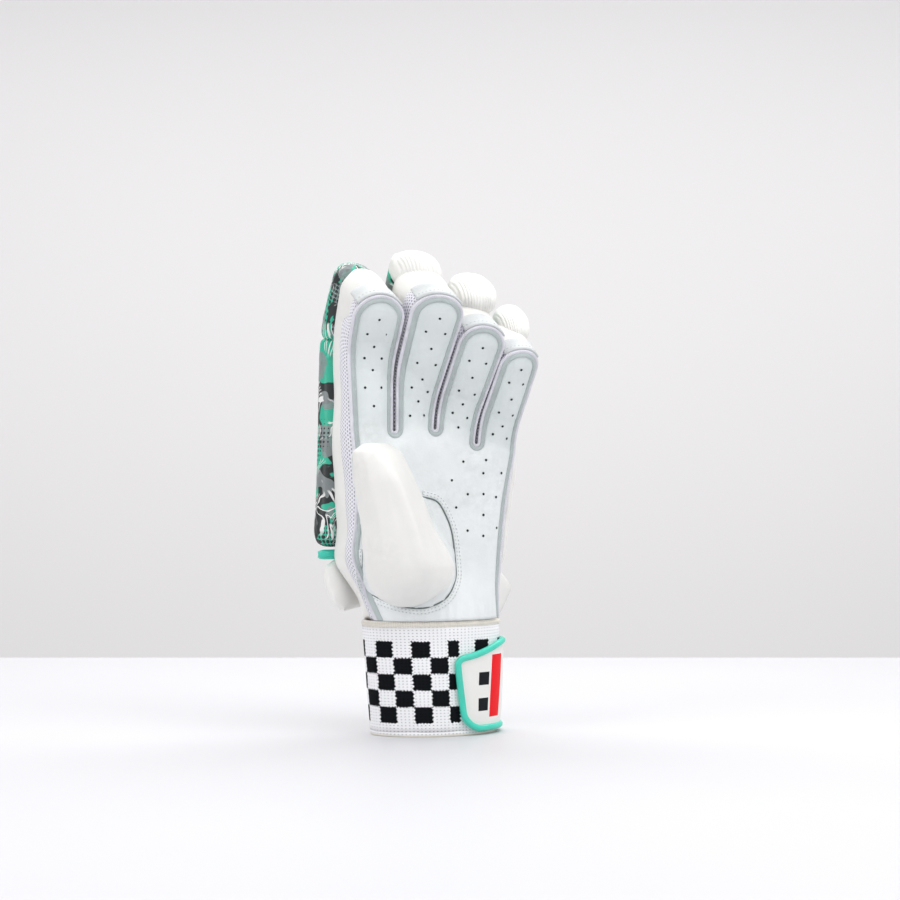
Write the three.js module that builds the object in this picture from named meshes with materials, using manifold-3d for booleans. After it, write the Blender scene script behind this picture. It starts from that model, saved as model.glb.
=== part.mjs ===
// A cricket batting glove for the left hand, standing open on its knitted cuff.
// Millimetres, +Z up, palm facing -Y, thumb side towards -X.
// The hand is drawn flat, then deform() rounds it to the wrist and curls its fingers.
import * as THREE from 'three';
import { mergeGeometries, mergeVertices } from 'three/addons/utils/BufferGeometryUtils.js';
import Module from 'manifold-3d';

const wasm = await Module();
wasm.setup();

// Driving dimensions
const GAP = 0.4; // left between neighbouring pieces
const CUFF_HEIGHT = 70;
const CUFF_WIDTH = 87;
const CUFF_DEPTH = 57;
const CUFF_FLARE = 6; // how much wider the cuff is at its top
const CUFF_LEAN = 2.6; // how far the cuff's top sits towards the thumb
const CUFF_WALL = 2.6;
const HEM_HEIGHT = 2.6;
const TAPE_HEIGHT = 3.2;
const TAPE_PROUD = 0.8;

const HAND_LENGTH = 230; // wrist to the middle fingertip, measured flat
const PALM_WIDTH = 113; // across the roots of the fingers
const HAND_DEPTH = 38; // face of the palm to the back of the shell
const PALM_FORWARD = 18; // face of the palm in front of the cuff's axis
const LEATHER = 1.6;
const MESH = 1.6;
const MESH_DEPTH = 10.5;
const MESH_SEAT = 1; // between the leather and the mesh walls
const RIM_SEAT = 2; // between the rim and the back's sheet
const SHELL_WALL = 3;
const SHELL_BACK = 4.5;
const ROOT_GAP = 4; // between two fingers at their root
const EDGE_DROP = 3.6; // how far the leather rolls back at its edge
const EDGE_RUN = 8;
const TAB_PROUD = 0.7; // fingertip tabs over the mesh

const FLARE = 0.06; // widening of the back against the palm
const WRIST_BLEND = 40;
const CURL_ANGLE = 34;
const CURL_RUN = 32;
const FLATTEST = 0.2; // least share of the cuff's half-depth at the wrist's two sides

const ROLL_DEPTH = 23;
const ROLL_SPLIT = 1.2; // between the two rolls of a finger
const ROLL_SEAT = 1; // between the rolls and the shell
const ROLL_FRONT = 0.3; // share of a roll's depth in front of its middle
const ROLL_FOOT = 45; // wrist to the lower end of the rolls
const WRIST_ROLL_HEIGHT = 33;
const WRIST_ROLL_DEPTH = 20;
const WRIST_ROLL_LIFT = 4; // wrist to the roll's lower side
const SIDE_ROLL_WIDTH = 8.5;
const SIDE_ROLL_DEPTH = 17;
const SIDE_ROLL_DROP = 16; // its lower end under the other rolls' lower ends
const SIDE_ROLL_RISE = 14; // its upper end over the little finger's root
const SIDE_ROLL_SIDES = 10;
const PIPING_RADIUS = 3.5;
const PIPING_STAND = 3; // between the shell and the piping
const PIPING_FROM = -0.585; // its two ends as shares of the palm's width
const PIPING_TO = 0.43;

const THUMB_LENGTH = 104;
const THUMB_WIDTH = 57;
const THUMB_DEPTH = 28;
const THUMB_WALL = 3.2;
const THUMB_RIM = 9; // rim of the guard in front of the palm's face
const THUMB_LIFT = 9.5; // wrist to the guard's lower end
const THUMB_HOLE = 34;
const THUMB_HOLE_UP = 0.24; // its middle as a share of the guard's length
const THUMB_TAPER = 0.88; // width of the thumb's leather at the palm against the guard
const THUMB_SEAT = 2.4; // between the palm and the thumb's leather

const STRAP_THICKNESS = 2.2;
const STRAP_END = -88; // degrees round the cuff, 0 at +X and -90 at the front
const STRAP_START = 96;
const STRAP_LOW = 3.2;
const STRAP_HIGH = 60;
const STRAP_TAPER = 9; // how much lower the strap's top is at its free end
const STRAP_PIPING = 1.7;

const palmY = -PALM_FORWARD;
const shellY = palmY + HAND_DEPTH;
const wristZ = CUFF_HEIGHT + TAPE_HEIGHT + 2 * GAP;

// Fingers: centre and radius of the round tip, and the root on the little finger's side.
// x and radius are shares of the palm's width, z of the hand's length above the wrist.
const FINGERS = [
  { name: 'index', tipX: -0.452, tipZ: 0.893, radius: 0.136, rootX: -0.3, rootZ: 0.53 },
  { name: 'middle', tipX: -0.15, tipZ: 0.918, radius: 0.13, rootX: -0.054, rootZ: 0.535 },
  { name: 'ring', tipX: 0.124, tipZ: 0.836, radius: 0.121, rootX: 0.2, rootZ: 0.495 },
  { name: 'little', tipX: 0.362, tipZ: 0.777, radius: 0.106, rootX: 0.434, rootZ: 0.462 },
];
const INDEX_ROOT = { x: -0.55, z: 0.53 };

// Sides of the palm from the wrist to the finger roots: up is a share of that height.
const SIDES = [
  { up: 0, left: -0.395, right: 0.367 },
  { up: 0.17, left: -0.465, right: 0.345 },
  { up: 0.33, left: -0.545, right: 0.348 },
  { up: 0.52, left: -0.528, right: 0.362 },
  { up: 0.72, left: -0.523, right: 0.384 },
  { up: 1, left: -0.55, right: 0.434 },
];

// Where each finger starts to curl: x a share of the palm's width, z of the hand's length.
const CURL_STARTS = [
  { x: -0.4, z: 0.69 },
  { x: -0.13, z: 0.575 },
  { x: 0.11, z: 0.535 },
  { x: 0.34, z: 0.475 },
];

// Rolls behind each finger: foot is the lower end's x, split and top their heights, shift and lean
// move them off the finger's middle at its root and tip, hang is the share of the ball over the tip.
const ROLLS = [
  {
    name: 'index', foot: -0.46, split: 0.755, top: 0.95,
    shift: -0.024, lean: 0.004, width: 0.118, ball: 0.112, hang: 0,
  },
  {
    name: 'middle', foot: -0.168, split: 0.74, top: 1.008,
    shift: -0.01, lean: -0.01, width: 0.114, ball: 0.136, hang: 1,
  },
  {
    name: 'ring', foot: 0.088, split: 0.69, top: 0.952,
    shift: 0.01, lean: 0.01, width: 0.106, ball: 0.114, hang: 1,
  },
  {
    name: 'little', foot: 0.322, split: 0.63, top: 0.858,
    shift: 0.02, lean: 0.026, width: 0.094, ball: 0.096, hang: 1,
  },
];

// Thumb guard from its lower end up: middle and half-width as shares of its width,
// bulge a share of its depth.
const THUMB = [
  { up: 0, middle: -0.56, half: 0.1, bulge: 0.2 },
  { up: 0.025, middle: -0.55, half: 0.24, bulge: 0.42 },
  { up: 0.09, middle: -0.545, half: 0.4, bulge: 0.72 },
  { up: 0.22, middle: -0.535, half: 0.505, bulge: 0.97 },
  { up: 0.36, middle: -0.6, half: 0.47, bulge: 1 },
  { up: 0.52, middle: -0.675, half: 0.418, bulge: 0.96 },
  { up: 0.7, middle: -0.77, half: 0.38, bulge: 0.88 },
  { up: 0.86, middle: -0.86, half: 0.33, bulge: 0.76 },
  { up: 0.96, middle: -0.9, half: 0.275, bulge: 0.58 },
  { up: 1, middle: -0.91, half: 0.15, bulge: 0.3 },
];

const FINGER_COLUMNS = [0, 0.22, 0.5, 0.78, 1];
const STRAIGHT_ROWS = 7;
const TIP_ROWS = 3;
const TIP_ANGLE = THREE.MathUtils.degToRad(60);
const PALM_ROWS = 8;
const ROUND = 32; // sides of the cuff
const ROLL_SIDES = 12;
const THUMB_SIDES = 16;
const ROLL_STEP = 9;

const { lerp, smoothstep, degToRad, clamp } = THREE.MathUtils;
const alongX = (share) => share * PALM_WIDTH;
const alongZ = (share) => wristZ + share * HAND_LENGTH;

// A smooth reading of one column of a table against another.
function reader(table, at, column) {
  const keys = table.map((row) => row[at]);
  const values = table.map((row) => row[column]);
  const curve = new THREE.CubicInterpolant(keys, values, 1);
  return (t) => curve.evaluate(clamp(t, keys[0], keys.at(-1)))[0];
}

// Half-width and middle of the cuff at a height, 0 at its foot and 1 at its top.
const cuffHalf = (up) => (CUFF_WIDTH + CUFF_FLARE * up) / 2;
const cuffMiddle = (up) => -CUFF_LEAN * up;

// Rounds the flat hand to the wrist, widens its back and curls its fingers.
const curlStart = reader(CURL_STARTS, 'x', 'z');
const wristShare = (z) => 1 - smoothstep(z, wristZ, wristZ + WRIST_BLEND);

function wristShift(x, y) {
  const side = (x - cuffMiddle(1)) / (cuffHalf(1) + 1);
  const arc = (CUFF_DEPTH / 2) * Math.sqrt(Math.max(FLATTEST ** 2, 1 - side * side));
  const front = -arc - palmY;
  const back = arc - shellY;
  const depth = (y - palmY - LEATHER) / (HAND_DEPTH - LEATHER - SHELL_BACK);
  return lerp(front, back, clamp(depth, 0, 1));
}

function deform(x, y, z) {
  const wrist = wristShare(z);
  const wide = x + FLARE * x * clamp((y - palmY) / HAND_DEPTH, -0.5, 1.8) * (1 - wrist);
  const deep = y + wristShift(x, y) * wrist;
  const start = alongZ(curlStart(x / PALM_WIDTH));
  const bent = clamp(z - start, 0, CURL_RUN);
  const past = Math.max(0, z - start - CURL_RUN);
  const full = degToRad(CURL_ANGLE);
  const angle = (full * bent) / CURL_RUN;
  const radius = CURL_RUN / full;
  return new THREE.Vector3(
    wide,
    -radius * (1 - Math.cos(angle)) - past * Math.sin(full) + deep * Math.cos(angle),
    Math.min(z, start) + radius * Math.sin(angle) + past * Math.cos(full) + deep * Math.sin(angle),
  );
}

// Closed geometry from points and faces, turned so that its faces point out.
function closed(points, faces) {
  const geometry = new THREE.BufferGeometry();
  geometry.setFromPoints(points);
  geometry.setIndex(faces.flat());
  let volume = 0;
  for (const [a, b, c] of faces) {
    volume += points[a].dot(points[b].clone().cross(points[c]));
  }
  if (volume < 0) geometry.setIndex(faces.map(([a, b, c]) => [a, c, b]).flat());
  return geometry;
}

// A skin through rings of points, closed round each ring and capped at both ends.
function loft(rings) {
  const sides = rings[0].length;
  const points = rings.flat();
  const faces = [];
  for (let r = 0; r + 1 < rings.length; r += 1) {
    for (let i = 0; i < sides; i += 1) {
      const a = r * sides + i;
      const b = r * sides + ((i + 1) % sides);
      faces.push([a, b, a + sides], [b, b + sides, a + sides]);
    }
  }
  [rings[0], rings.at(-1)].forEach((ring, end) => {
    const middle = ring.reduce((sum, p) => sum.add(p), new THREE.Vector3()).divideScalar(sides);
    const centre = points.push(middle) - 1;
    const first = end * (rings.length - 1) * sides;
    for (let i = 0; i < sides; i += 1) {
      const a = first + i;
      const b = first + ((i + 1) % sides);
      faces.push(end ? [a, b, centre] : [b, a, centre]);
    }
  });
  return closed(points, faces);
}

// A wall from a surface: front and back give the two faces' points at the surface's (x, z).
function thicken(surface, front, back) {
  const at = surface.getAttribute('position');
  const index = surface.getIndex().array;
  const count = at.count;
  const points = [];
  for (const side of [front, back]) {
    for (let i = 0; i < count; i += 1) points.push(side(at.getX(i), at.getZ(i)));
  }
  const faces = [];
  const edges = new Set();
  for (let i = 0; i < index.length; i += 3) {
    const [a, b, c] = index.slice(i, i + 3);
    faces.push([a, b, c], [count + a, count + c, count + b]);
    for (const [p, q] of [[a, b], [b, c], [c, a]]) edges.add(`${p} ${q}`);
  }
  for (const edge of edges) {
    const [p, q] = edge.split(' ').map(Number);
    if (!edges.has(`${q} ${p}`)) faces.push([q, p, count + p], [q, count + p, count + q]);
  }
  return closed(points, faces);
}

// A grid of (x, z) points from a PlaneGeometry: place(u, v) gives each one.
function patch(columns, rows, place) {
  const plane = new THREE.PlaneGeometry(1, 1, columns, rows);
  const at = plane.getAttribute('position');
  const uv = plane.getAttribute('uv');
  for (let i = 0; i < at.count; i += 1) {
    const p = place(uv.getX(i), uv.getY(i));
    at.setXYZ(i, p.x, 0, p.y);
  }
  plane.deleteAttribute('normal');
  plane.deleteAttribute('uv');
  return plane;
}

// Manifold solids, and back to geometry.
function solid(geometry) {
  const bare = geometry.clone();
  for (const name of Object.keys(bare.attributes)) {
    if (name !== 'position') bare.deleteAttribute(name);
  }
  const merged = mergeVertices(bare, 1e-4);
  const vertProperties = new Float32Array(merged.getAttribute('position').array);
  const triVerts = new Uint32Array(merged.getIndex().array);
  return new wasm.Manifold(new wasm.Mesh({ numProp: 3, vertProperties, triVerts }));
}

function geometryOf(made) {
  const mesh = made.getMesh();
  const geometry = new THREE.BufferGeometry();
  geometry.setAttribute('position', new THREE.BufferAttribute(mesh.vertProperties, 3));
  return geometry.setIndex(new THREE.BufferAttribute(mesh.triVerts, 1));
}

// The root points of finger i, drawn in by inset.
function roots(i, inset) {
  const half = ROOT_GAP / 2 + inset;
  const own = FINGERS[i];
  const before = FINGERS[i - 1];
  const last = i === FINGERS.length - 1;
  const left = before
    ? new THREE.Vector2(alongX(before.rootX) + half, alongZ(before.rootZ))
    : new THREE.Vector2(alongX(INDEX_ROOT.x) + inset, alongZ(INDEX_ROOT.z));
  const right = new THREE.Vector2(alongX(own.rootX) - (last ? inset : half), alongZ(own.rootZ));
  return { left, right };
}

// A point of finger i: across from 0 at its left to 1, row from 0 at its root to the tip.
function fingerPoint(i, across, row, inset) {
  const { left, right } = roots(i, inset);
  const own = FINGERS[i];
  const tip = new THREE.Vector2(alongX(own.tipX), alongZ(own.tipZ));
  const radius = alongX(own.radius) - inset;
  const axis = tip.clone().sub(left.clone().add(right).multiplyScalar(0.5)).normalize();
  const side = new THREE.Vector2(axis.y, -axis.x);
  if (row <= STRAIGHT_ROWS) {
    const up = row / STRAIGHT_ROWS;
    const a = left.clone().lerp(tip.clone().addScaledVector(side, -radius), up);
    const b = right.clone().lerp(tip.clone().addScaledVector(side, radius), up);
    return a.lerp(b, across);
  }
  const part = (row - STRAIGHT_ROWS) / TIP_ROWS;
  const angle = TIP_ANGLE * part;
  const off = radius * Math.cos(angle) * (2 * across - 1);
  const arc = Math.sqrt(radius * radius - off * off);
  const rise = lerp(radius * Math.sin(angle), arc, part);
  return tip.addScaledVector(side, off).addScaledVector(axis, rise);
}

const FINGER_ROWS = STRAIGHT_ROWS + TIP_ROWS;

// The palm's top row, from the index root over the three crotches to the little finger's root.
function rootRow(inset) {
  const row = [];
  FINGERS.forEach((finger, i) => {
    for (const across of FINGER_COLUMNS) row.push(fingerPoint(i, across, 0, inset));
    if (i < FINGERS.length - 1) {
      const deep = ROOT_GAP / 2 + inset;
      row.push(new THREE.Vector2(alongX(finger.rootX), alongZ(finger.rootZ) - deep));
    }
  });
  return row;
}

const palmLeft = reader(SIDES, 'up', 'left');
const palmRight = reader(SIDES, 'up', 'right');

function palmPoint(row, column, up, inset) {
  const left = alongX(palmLeft(up)) + inset;
  const right = alongX(palmRight(up)) - inset;
  const first = row[0].x;
  const share = (row[column].x - first) / (row.at(-1).x - first);
  return new THREE.Vector2(lerp(left, right, share), lerp(wristZ, row[column].y, up));
}

// The whole hand as one flat surface, palm and four fingers.
function handSurface(inset) {
  const row = rootRow(inset);
  const columns = row.length - 1;
  const palm = patch(columns, PALM_ROWS, (u, v) => palmPoint(row, Math.round(u * columns), v, inset));
  const fingers = FINGERS.map((finger, i) =>
    patch(FINGER_COLUMNS.length - 1, FINGER_ROWS, (u, v) => {
      const across = FINGER_COLUMNS[Math.round(u * (FINGER_COLUMNS.length - 1))];
      return fingerPoint(i, across, Math.round(v * FINGER_ROWS), inset);
    }),
  );
  return mergeVertices(mergeGeometries([palm, ...fingers]), 1e-3);
}

// The hand's outline as runs in order: the index side, then tip and gusset in turn.
function outlineRuns(inset) {
  const tabRow = FINGER_ROWS - 1;
  const column = (i, across, from, to) => {
    const step = Math.sign(to - from);
    const points = [];
    for (let r = from; r !== to + step; r += step) points.push(fingerPoint(i, across, r, inset));
    return points;
  };
  const side = (read, draw) => {
    const points = [];
    for (let r = 0; r < PALM_ROWS; r += 1) {
      const up = r / PALM_ROWS;
      const root = draw > 0 ? INDEX_ROOT.z : FINGERS.at(-1).rootZ;
      points.push(new THREE.Vector2(alongX(read(up)) + draw * inset, lerp(wristZ, alongZ(root), up)));
    }
    return points;
  };
  const runs = [{ name: 'side_mesh_index', points: [...side(palmLeft, 1), ...column(0, 0, 0, tabRow)] }];
  FINGERS.forEach((finger, i) => {
    const top = FINGER_COLUMNS.map((across) => fingerPoint(i, across, FINGER_ROWS, inset));
    const from = fingerPoint(i, 0, tabRow, inset);
    const to = fingerPoint(i, 1, tabRow, inset);
    runs.push({ name: `tip_tab_${finger.name}`, points: [from, ...top, to] });
    const down = column(i, 1, tabRow, 0);
    const next = FINGERS[i + 1];
    if (next) {
      const deep = ROOT_GAP / 2 + inset;
      down.push(new THREE.Vector2(alongX(finger.rootX), alongZ(finger.rootZ) - deep));
      const points = [...down, ...column(i + 1, 0, 0, tabRow)];
      runs.push({ name: `gusset_${finger.name}_${next.name}`, points });
    } else {
      runs.push({ name: 'side_mesh_little', points: [...down, ...side(palmRight, -1).reverse()] });
    }
  });
  return runs;
}

// A run with its ends drawn back, so that two runs keep a gap.
function trimmed(points, start, end) {
  const made = points.map((p) => p.clone());
  const pull = (a, b, by) => a.add(b.clone().sub(a).setLength(by));
  if (start) pull(made[0], made[1], GAP / 2);
  if (end) pull(made.at(-1), made.at(-2), GAP / 2);
  return made;
}

// A wall along an outline, between two insets and two depths.
function ribbon(outer, inner, front, back) {
  return loft(outer.map((o, i) => [
    deform(o.x, front, o.y),
    deform(inner[i].x, front, inner[i].y),
    deform(inner[i].x, back, inner[i].y),
    deform(o.x, back, o.y),
  ]));
}

// How far a flat point lies from the hand's outline.
const border = outlineRuns(0).flatMap((run) => run.points);
function fromEdge(x, z) {
  const p = new THREE.Vector3(x, z, 0);
  const near = new THREE.Vector3();
  const line = new THREE.Line3();
  let best = Infinity;
  for (let i = 0; i + 1 < border.length; i += 1) {
    line.start.set(border[i].x, border[i].y, 0);
    line.end.set(border[i + 1].x, border[i + 1].y, 0);
    line.closestPointToPoint(p, true, near);
    best = Math.min(best, near.distanceTo(p));
  }
  return best;
}

// Depth of the leather's face: it rolls back towards its edge.
function leatherY(x, z) {
  const edge = 1 - clamp(fromEdge(x, z) / EDGE_RUN, 0, 1);
  return palmY + EDGE_DROP * edge * edge;
}

const meshFront = palmY + EDGE_DROP + LEATHER + MESH_SEAT;
const meshBack = meshFront + MESH_DEPTH;
const rimFront = meshBack + GAP;

// Thumb guard, and the solid that fills it.
const thumbZ = wristZ + THUMB_LIFT;
const rimY = palmY - THUMB_RIM;

function thumbBody(wall) {
  const middle = reader(THUMB, 'up', 'middle');
  const half = reader(THUMB, 'up', 'half');
  const bulge = reader(THUMB, 'up', 'bulge');
  const rings = [0, 0.02, 0.06, 0.12, 0.18, 0.25, 0.36, 0.5, 0.64, 0.78, 0.88, 0.95, 1].map((up) => {
    const z = lerp(thumbZ + wall, thumbZ + THUMB_LENGTH - wall, up);
    const a = Math.max(0.8, half(up) * THUMB_WIDTH - wall);
    const b = Math.max(0.8, bulge(up) * THUMB_DEPTH - wall);
    const ring = [];
    for (let i = 0; i < THUMB_SIDES; i += 1) {
      const turn = (2 * Math.PI * i) / THUMB_SIDES;
      const x = middle(up) * THUMB_WIDTH + a * Math.cos(turn);
      ring.push(new THREE.Vector3(x, rimY - b * Math.sin(turn), z));
    }
    return ring;
  });
  return solid(loft(rings));
}

// A box between two corners.
function block(low, high) {
  const size = high.clone().sub(low);
  const box = new THREE.BoxGeometry(size.x, size.y, size.z);
  const middle = low.clone().add(high).multiplyScalar(0.5);
  return solid(box.translate(middle.x, middle.y, middle.z));
}

const FAR = 4 * HAND_LENGTH;

function thumbGuard() {
  const behind = block(new THREE.Vector3(-FAR, rimY, -FAR), new THREE.Vector3(FAR, FAR, FAR));
  return geometryOf(thumbBody(0).subtract(thumbBody(THUMB_WALL)).subtract(behind));
}

// Face of the palm where the thumb is sewn on, after the wrist's rounding.
const palmFace = (x, z) => deform(x, leatherY(x, z), z).y;

// The thumb's leather: a tray between the guard's rim and the palm.
function thumbLeather() {
  const middle = reader(THUMB, 'up', 'middle');
  const half = reader(THUMB, 'up', 'half');
  const tray = (inset) => patch(6, 12, (u, v) => {
    const a = half(v) * THUMB_WIDTH - inset;
    const z = lerp(thumbZ + inset, thumbZ + THUMB_LENGTH - inset, v);
    return new THREE.Vector2(middle(v) * THUMB_WIDTH + a * (2 * u - 1), z);
  });
  const front = rimY + GAP;
  const flat = (depth) => (x, z) => new THREE.Vector3(x, depth, z);
  const behind = (step) => (x, z) => {
    const up = clamp((z - thumbZ) / THUMB_LENGTH, 0, 1);
    const drawn = lerp(middle(up) * THUMB_WIDTH, x, THUMB_TAPER);
    return new THREE.Vector3(drawn, palmFace(drawn, z) - THUMB_SEAT - step, z);
  };
  const body = solid(thicken(tray(1), flat(front), behind(0)));
  const hollow = solid(thicken(tray(1 + LEATHER), flat(front - THUMB_RIM), behind(LEATHER)));
  return geometryOf(body.subtract(hollow).subtract(thumbHole()));
}

// The hole that the thumb goes through, in the leather of the palm and of the thumb.
function thumbHole() {
  const rod = new THREE.CylinderGeometry(THUMB_HOLE / 2, THUMB_HOLE / 2, 2 * HAND_DEPTH, 20);
  rod.translate(THUMB[3].middle * THUMB_WIDTH, palmY, thumbZ + THUMB_LENGTH * THUMB_HOLE_UP);
  return solid(rod);
}

function palmLeather() {
  const front = (x, z) => deform(x, leatherY(x, z), z);
  const back = (x, z) => deform(x, leatherY(x, z) + LEATHER, z);
  return geometryOf(solid(thicken(handSurface(0), front, back)).subtract(thumbHole()));
}

// The white back of the hand and fingers. Its rim is a row of pieces along the outline.
function backSheet() {
  const front = (x, z) => deform(x, shellY - SHELL_BACK, z);
  const back = (x, z) => deform(x, shellY, z);
  return thicken(handSurface(0), front, back);
}

// Rolls: rows of a section, each with its height, middle, half-width and depth before and behind.
function rollRing({ z, x, half, front, back }) {
  const ring = [];
  const y = shellY + ROLL_SEAT;
  for (let i = 0; i < ROLL_SIDES; i += 1) {
    const turn = (2 * Math.PI * i) / ROLL_SIDES;
    const across = Math.sign(Math.cos(turn)) * Math.abs(Math.cos(turn)) ** 0.8;
    const deep = Math.sin(turn);
    const seat = ROLL_DEPTH * ROLL_FRONT;
    ring.push(deform(x + half * across, y + seat + (deep > 0 ? deep * back : deep * front), z));
  }
  return ring;
}

// Middle line of roll i at a height: from its foot to the finger's root, then along the finger.
function rollMiddle(i, z) {
  const { left, right } = roots(i, 0);
  const root = left.clone().add(right).multiplyScalar(0.5);
  const tip = new THREE.Vector2(alongX(FINGERS[i].tipX), alongZ(FINGERS[i].tipZ));
  const foot = new THREE.Vector2(alongX(ROLLS[i].foot), wristZ + ROLL_FOOT);
  const { shift, lean } = ROLLS[i];
  root.x += alongX(shift);
  tip.x += alongX(lean);
  foot.x += alongX(shift);
  const [from, to] = z < root.y ? [foot, root] : [root, tip];
  return lerp(from.x, to.x, (z - from.y) / (to.y - from.y));
}

// End rows of a pillow, as shares of its full section, at a distance from its end.
const PILLOW = [
  { run: 0, share: 0.45 },
  { run: 2.5, share: 0.78 },
  { run: 8, share: 1 },
];

// Heights between two ends, no further apart than ROLL_STEP.
function heights(low, high) {
  const count = Math.max(1, Math.ceil((high - low) / ROLL_STEP));
  return Array.from({ length: count - 1 }, (_, k) => lerp(low, high, (k + 1) / count));
}

function lowerRoll(i) {
  const seat = ROLL_DEPTH * ROLL_FRONT;
  const foot = wristZ + ROLL_FOOT;
  const top = alongZ(ROLLS[i].split) - ROLL_SPLIT / 2;
  const end = PILLOW.at(-1).run;
  const rows = [
    ...PILLOW.map((row) => ({ z: foot + row.run, share: row.share })),
    ...heights(foot + end, top - end).map((z) => ({ z, share: 1 })),
    ...PILLOW.map((row) => ({ z: top - row.run, share: row.share })).reverse(),
  ];
  return loft(rows.map(({ z, share }) => rollRing({
    z,
    x: rollMiddle(i, z),
    half: alongX(ROLLS[i].width) * lerp(0.6, 1, share),
    front: seat * share,
    back: (ROLL_DEPTH - seat) * share,
  })));
}

// The upper roll follows the finger and ends in a dome or in a ball that hangs over the fingertip.
function tipRoll(i) {
  const seat = ROLL_DEPTH * ROLL_FRONT;
  const roll = ROLLS[i];
  const low = alongZ(roll.split) + ROLL_SPLIT / 2;
  const top = alongZ(roll.top);
  const tip = alongZ(FINGERS[i].tipZ) + alongX(FINGERS[i].radius) + GAP;
  const end = roll.hang ? tip : top - alongX(roll.ball) * 0.8;
  const ball = alongX(roll.ball);
  const width = alongX(roll.width);
  const behind = ROLL_DEPTH - seat;
  const reach = seat + roll.hang * (ROLL_SEAT + (shellY - rimFront) * 0.92);
  const pillow = PILLOW.map((row) => ({
    z: low + row.run,
    half: width * lerp(0.6, 1, row.share),
    front: seat * row.share,
    back: behind * row.share,
  }));
  const dome = [0.3, 0.6, 0.84, 0.97].map((share) => {
    const round = Math.sqrt(1 - share * share);
    return {
      z: lerp(end, top, share),
      half: ball * lerp(0.25, 1, round),
      front: reach * round,
      back: behind * round,
    };
  });
  const from = pillow.at(-1).z;
  const body = heights(from, end - 0.2).map((z) => ({
    z,
    half: lerp(width, ball, (z - from) / (end - from)),
    front: seat,
    back: behind,
  }));
  const rows = [
    ...pillow,
    ...body,
    { z: end - 0.2, half: ball, front: seat, back: behind },
    { z: end + 0.6, half: ball, front: reach, back: behind },
    ...dome,
  ];
  return loft(rows.map((row) => rollRing({ ...row, x: rollMiddle(i, row.z) })));
}

// The roll across the wrist: sections from the thumb's side, across a share of its length,
// share their size and wrap how far they are drawn round the side of the hand.
const WRIST_ROLL_FROM = -0.555;
const WRIST_ROLL_TO = 0.51;
const WRIST_ROLL = [
  { across: 0, share: 0.4, wrap: 0 },
  { across: 0.02, share: 0.72, wrap: 0 },
  { across: 0.07, share: 0.95, wrap: 0 },
  { across: 0.18, share: 1, wrap: 0 },
  { across: 0.29, share: 1, wrap: 0 },
  { across: 0.4, share: 1, wrap: 0 },
  { across: 0.51, share: 1, wrap: 0 },
  { across: 0.62, share: 0.98, wrap: 0 },
  { across: 0.74, share: 0.92, wrap: 0 },
  { across: 0.85, share: 0.8, wrap: 0 },
  { across: 0.91, share: 0.6, wrap: 0.25 },
  { across: 0.96, share: 0.42, wrap: 0.8 },
  { across: 1, share: 0.25, wrap: 1 },
];

function wristRoll() {
  const rings = WRIST_ROLL.map(({ across, share, wrap }) => {
    const x = alongX(lerp(WRIST_ROLL_FROM, WRIST_ROLL_TO, across));
    const ring = [];
    for (let i = 0; i < ROLL_SIDES; i += 1) {
      const turn = (2 * Math.PI * i) / ROLL_SIDES;
      const up = (WRIST_ROLL_HEIGHT / 2) * (Math.cos(turn) * lerp(0.3, 1, share) - 0.3 * wrap);
      const deep = Math.sin(turn) > 0 ? Math.sin(turn) : 0.35 * Math.sin(turn);
      const y = shellY + ROLL_SEAT + WRIST_ROLL_DEPTH * (0.26 + 0.74 * deep * share - 0.55 * wrap);
      ring.push(deform(x, y, wristZ + WRIST_ROLL_LIFT + WRIST_ROLL_HEIGHT / 2 + up));
    }
    return ring;
  });
  return loft(rings);
}

// The padded roll along the little finger's side of the palm.
const SIDE_ROLL = [
  { up: 0, share: 0.3 },
  { up: 0.04, share: 0.75 },
  { up: 0.14, share: 1 },
  { up: 0.3, share: 1 },
  { up: 0.5, share: 1 },
  { up: 0.7, share: 0.95 },
  { up: 0.86, share: 0.8 },
  { up: 0.96, share: 0.55 },
  { up: 1, share: 0.25 },
];

function sideRoll() {
  const root = alongZ(FINGERS.at(-1).rootZ);
  const rings = SIDE_ROLL.map(({ up, share }) => {
    const z = lerp(wristZ + ROLL_FOOT - SIDE_ROLL_DROP, root + SIDE_ROLL_RISE, up);
    const height = (z - wristZ) / (root - wristZ);
    const row = (STRAIGHT_ROWS * (z - root)) / (alongZ(FINGERS.at(-1).tipZ) - root);
    const edge = height < 1
      ? alongX(palmRight(height))
      : fingerPoint(FINGERS.length - 1, 1, row, 0).x;
    const half = SIDE_ROLL_WIDTH / 2;
    const ring = [];
    for (let i = 0; i < SIDE_ROLL_SIDES; i += 1) {
      const turn = (2 * Math.PI * i) / SIDE_ROLL_SIDES;
      const x = edge + ROLL_SEAT + half * (0.3 + (Math.cos(turn) > 0 ? 1.7 * share : 0.3) * Math.cos(turn));
      const y = meshFront + 1 + (SIDE_ROLL_DEPTH / 2) * (1 + Math.sin(turn) * lerp(0.5, 1, share));
      ring.push(deform(x, y, z));
    }
    return ring;
  });
  return loft(rings);
}

// A round cord along a curve.
function cordAlong(points, radius, sides, steps) {
  const path = new THREE.CatmullRomCurve3(points, false, 'centripetal');
  const section = new THREE.Shape();
  for (let i = 0; i < sides; i += 1) {
    const turn = (2 * Math.PI * i) / sides;
    const [x, y] = [radius * Math.cos(turn), radius * Math.sin(turn)];
    if (i) section.lineTo(x, y);
    else section.moveTo(x, y);
  }
  return new THREE.ExtrudeGeometry(section, { steps, extrudePath: path, curveSegments: 1 });
}

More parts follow.
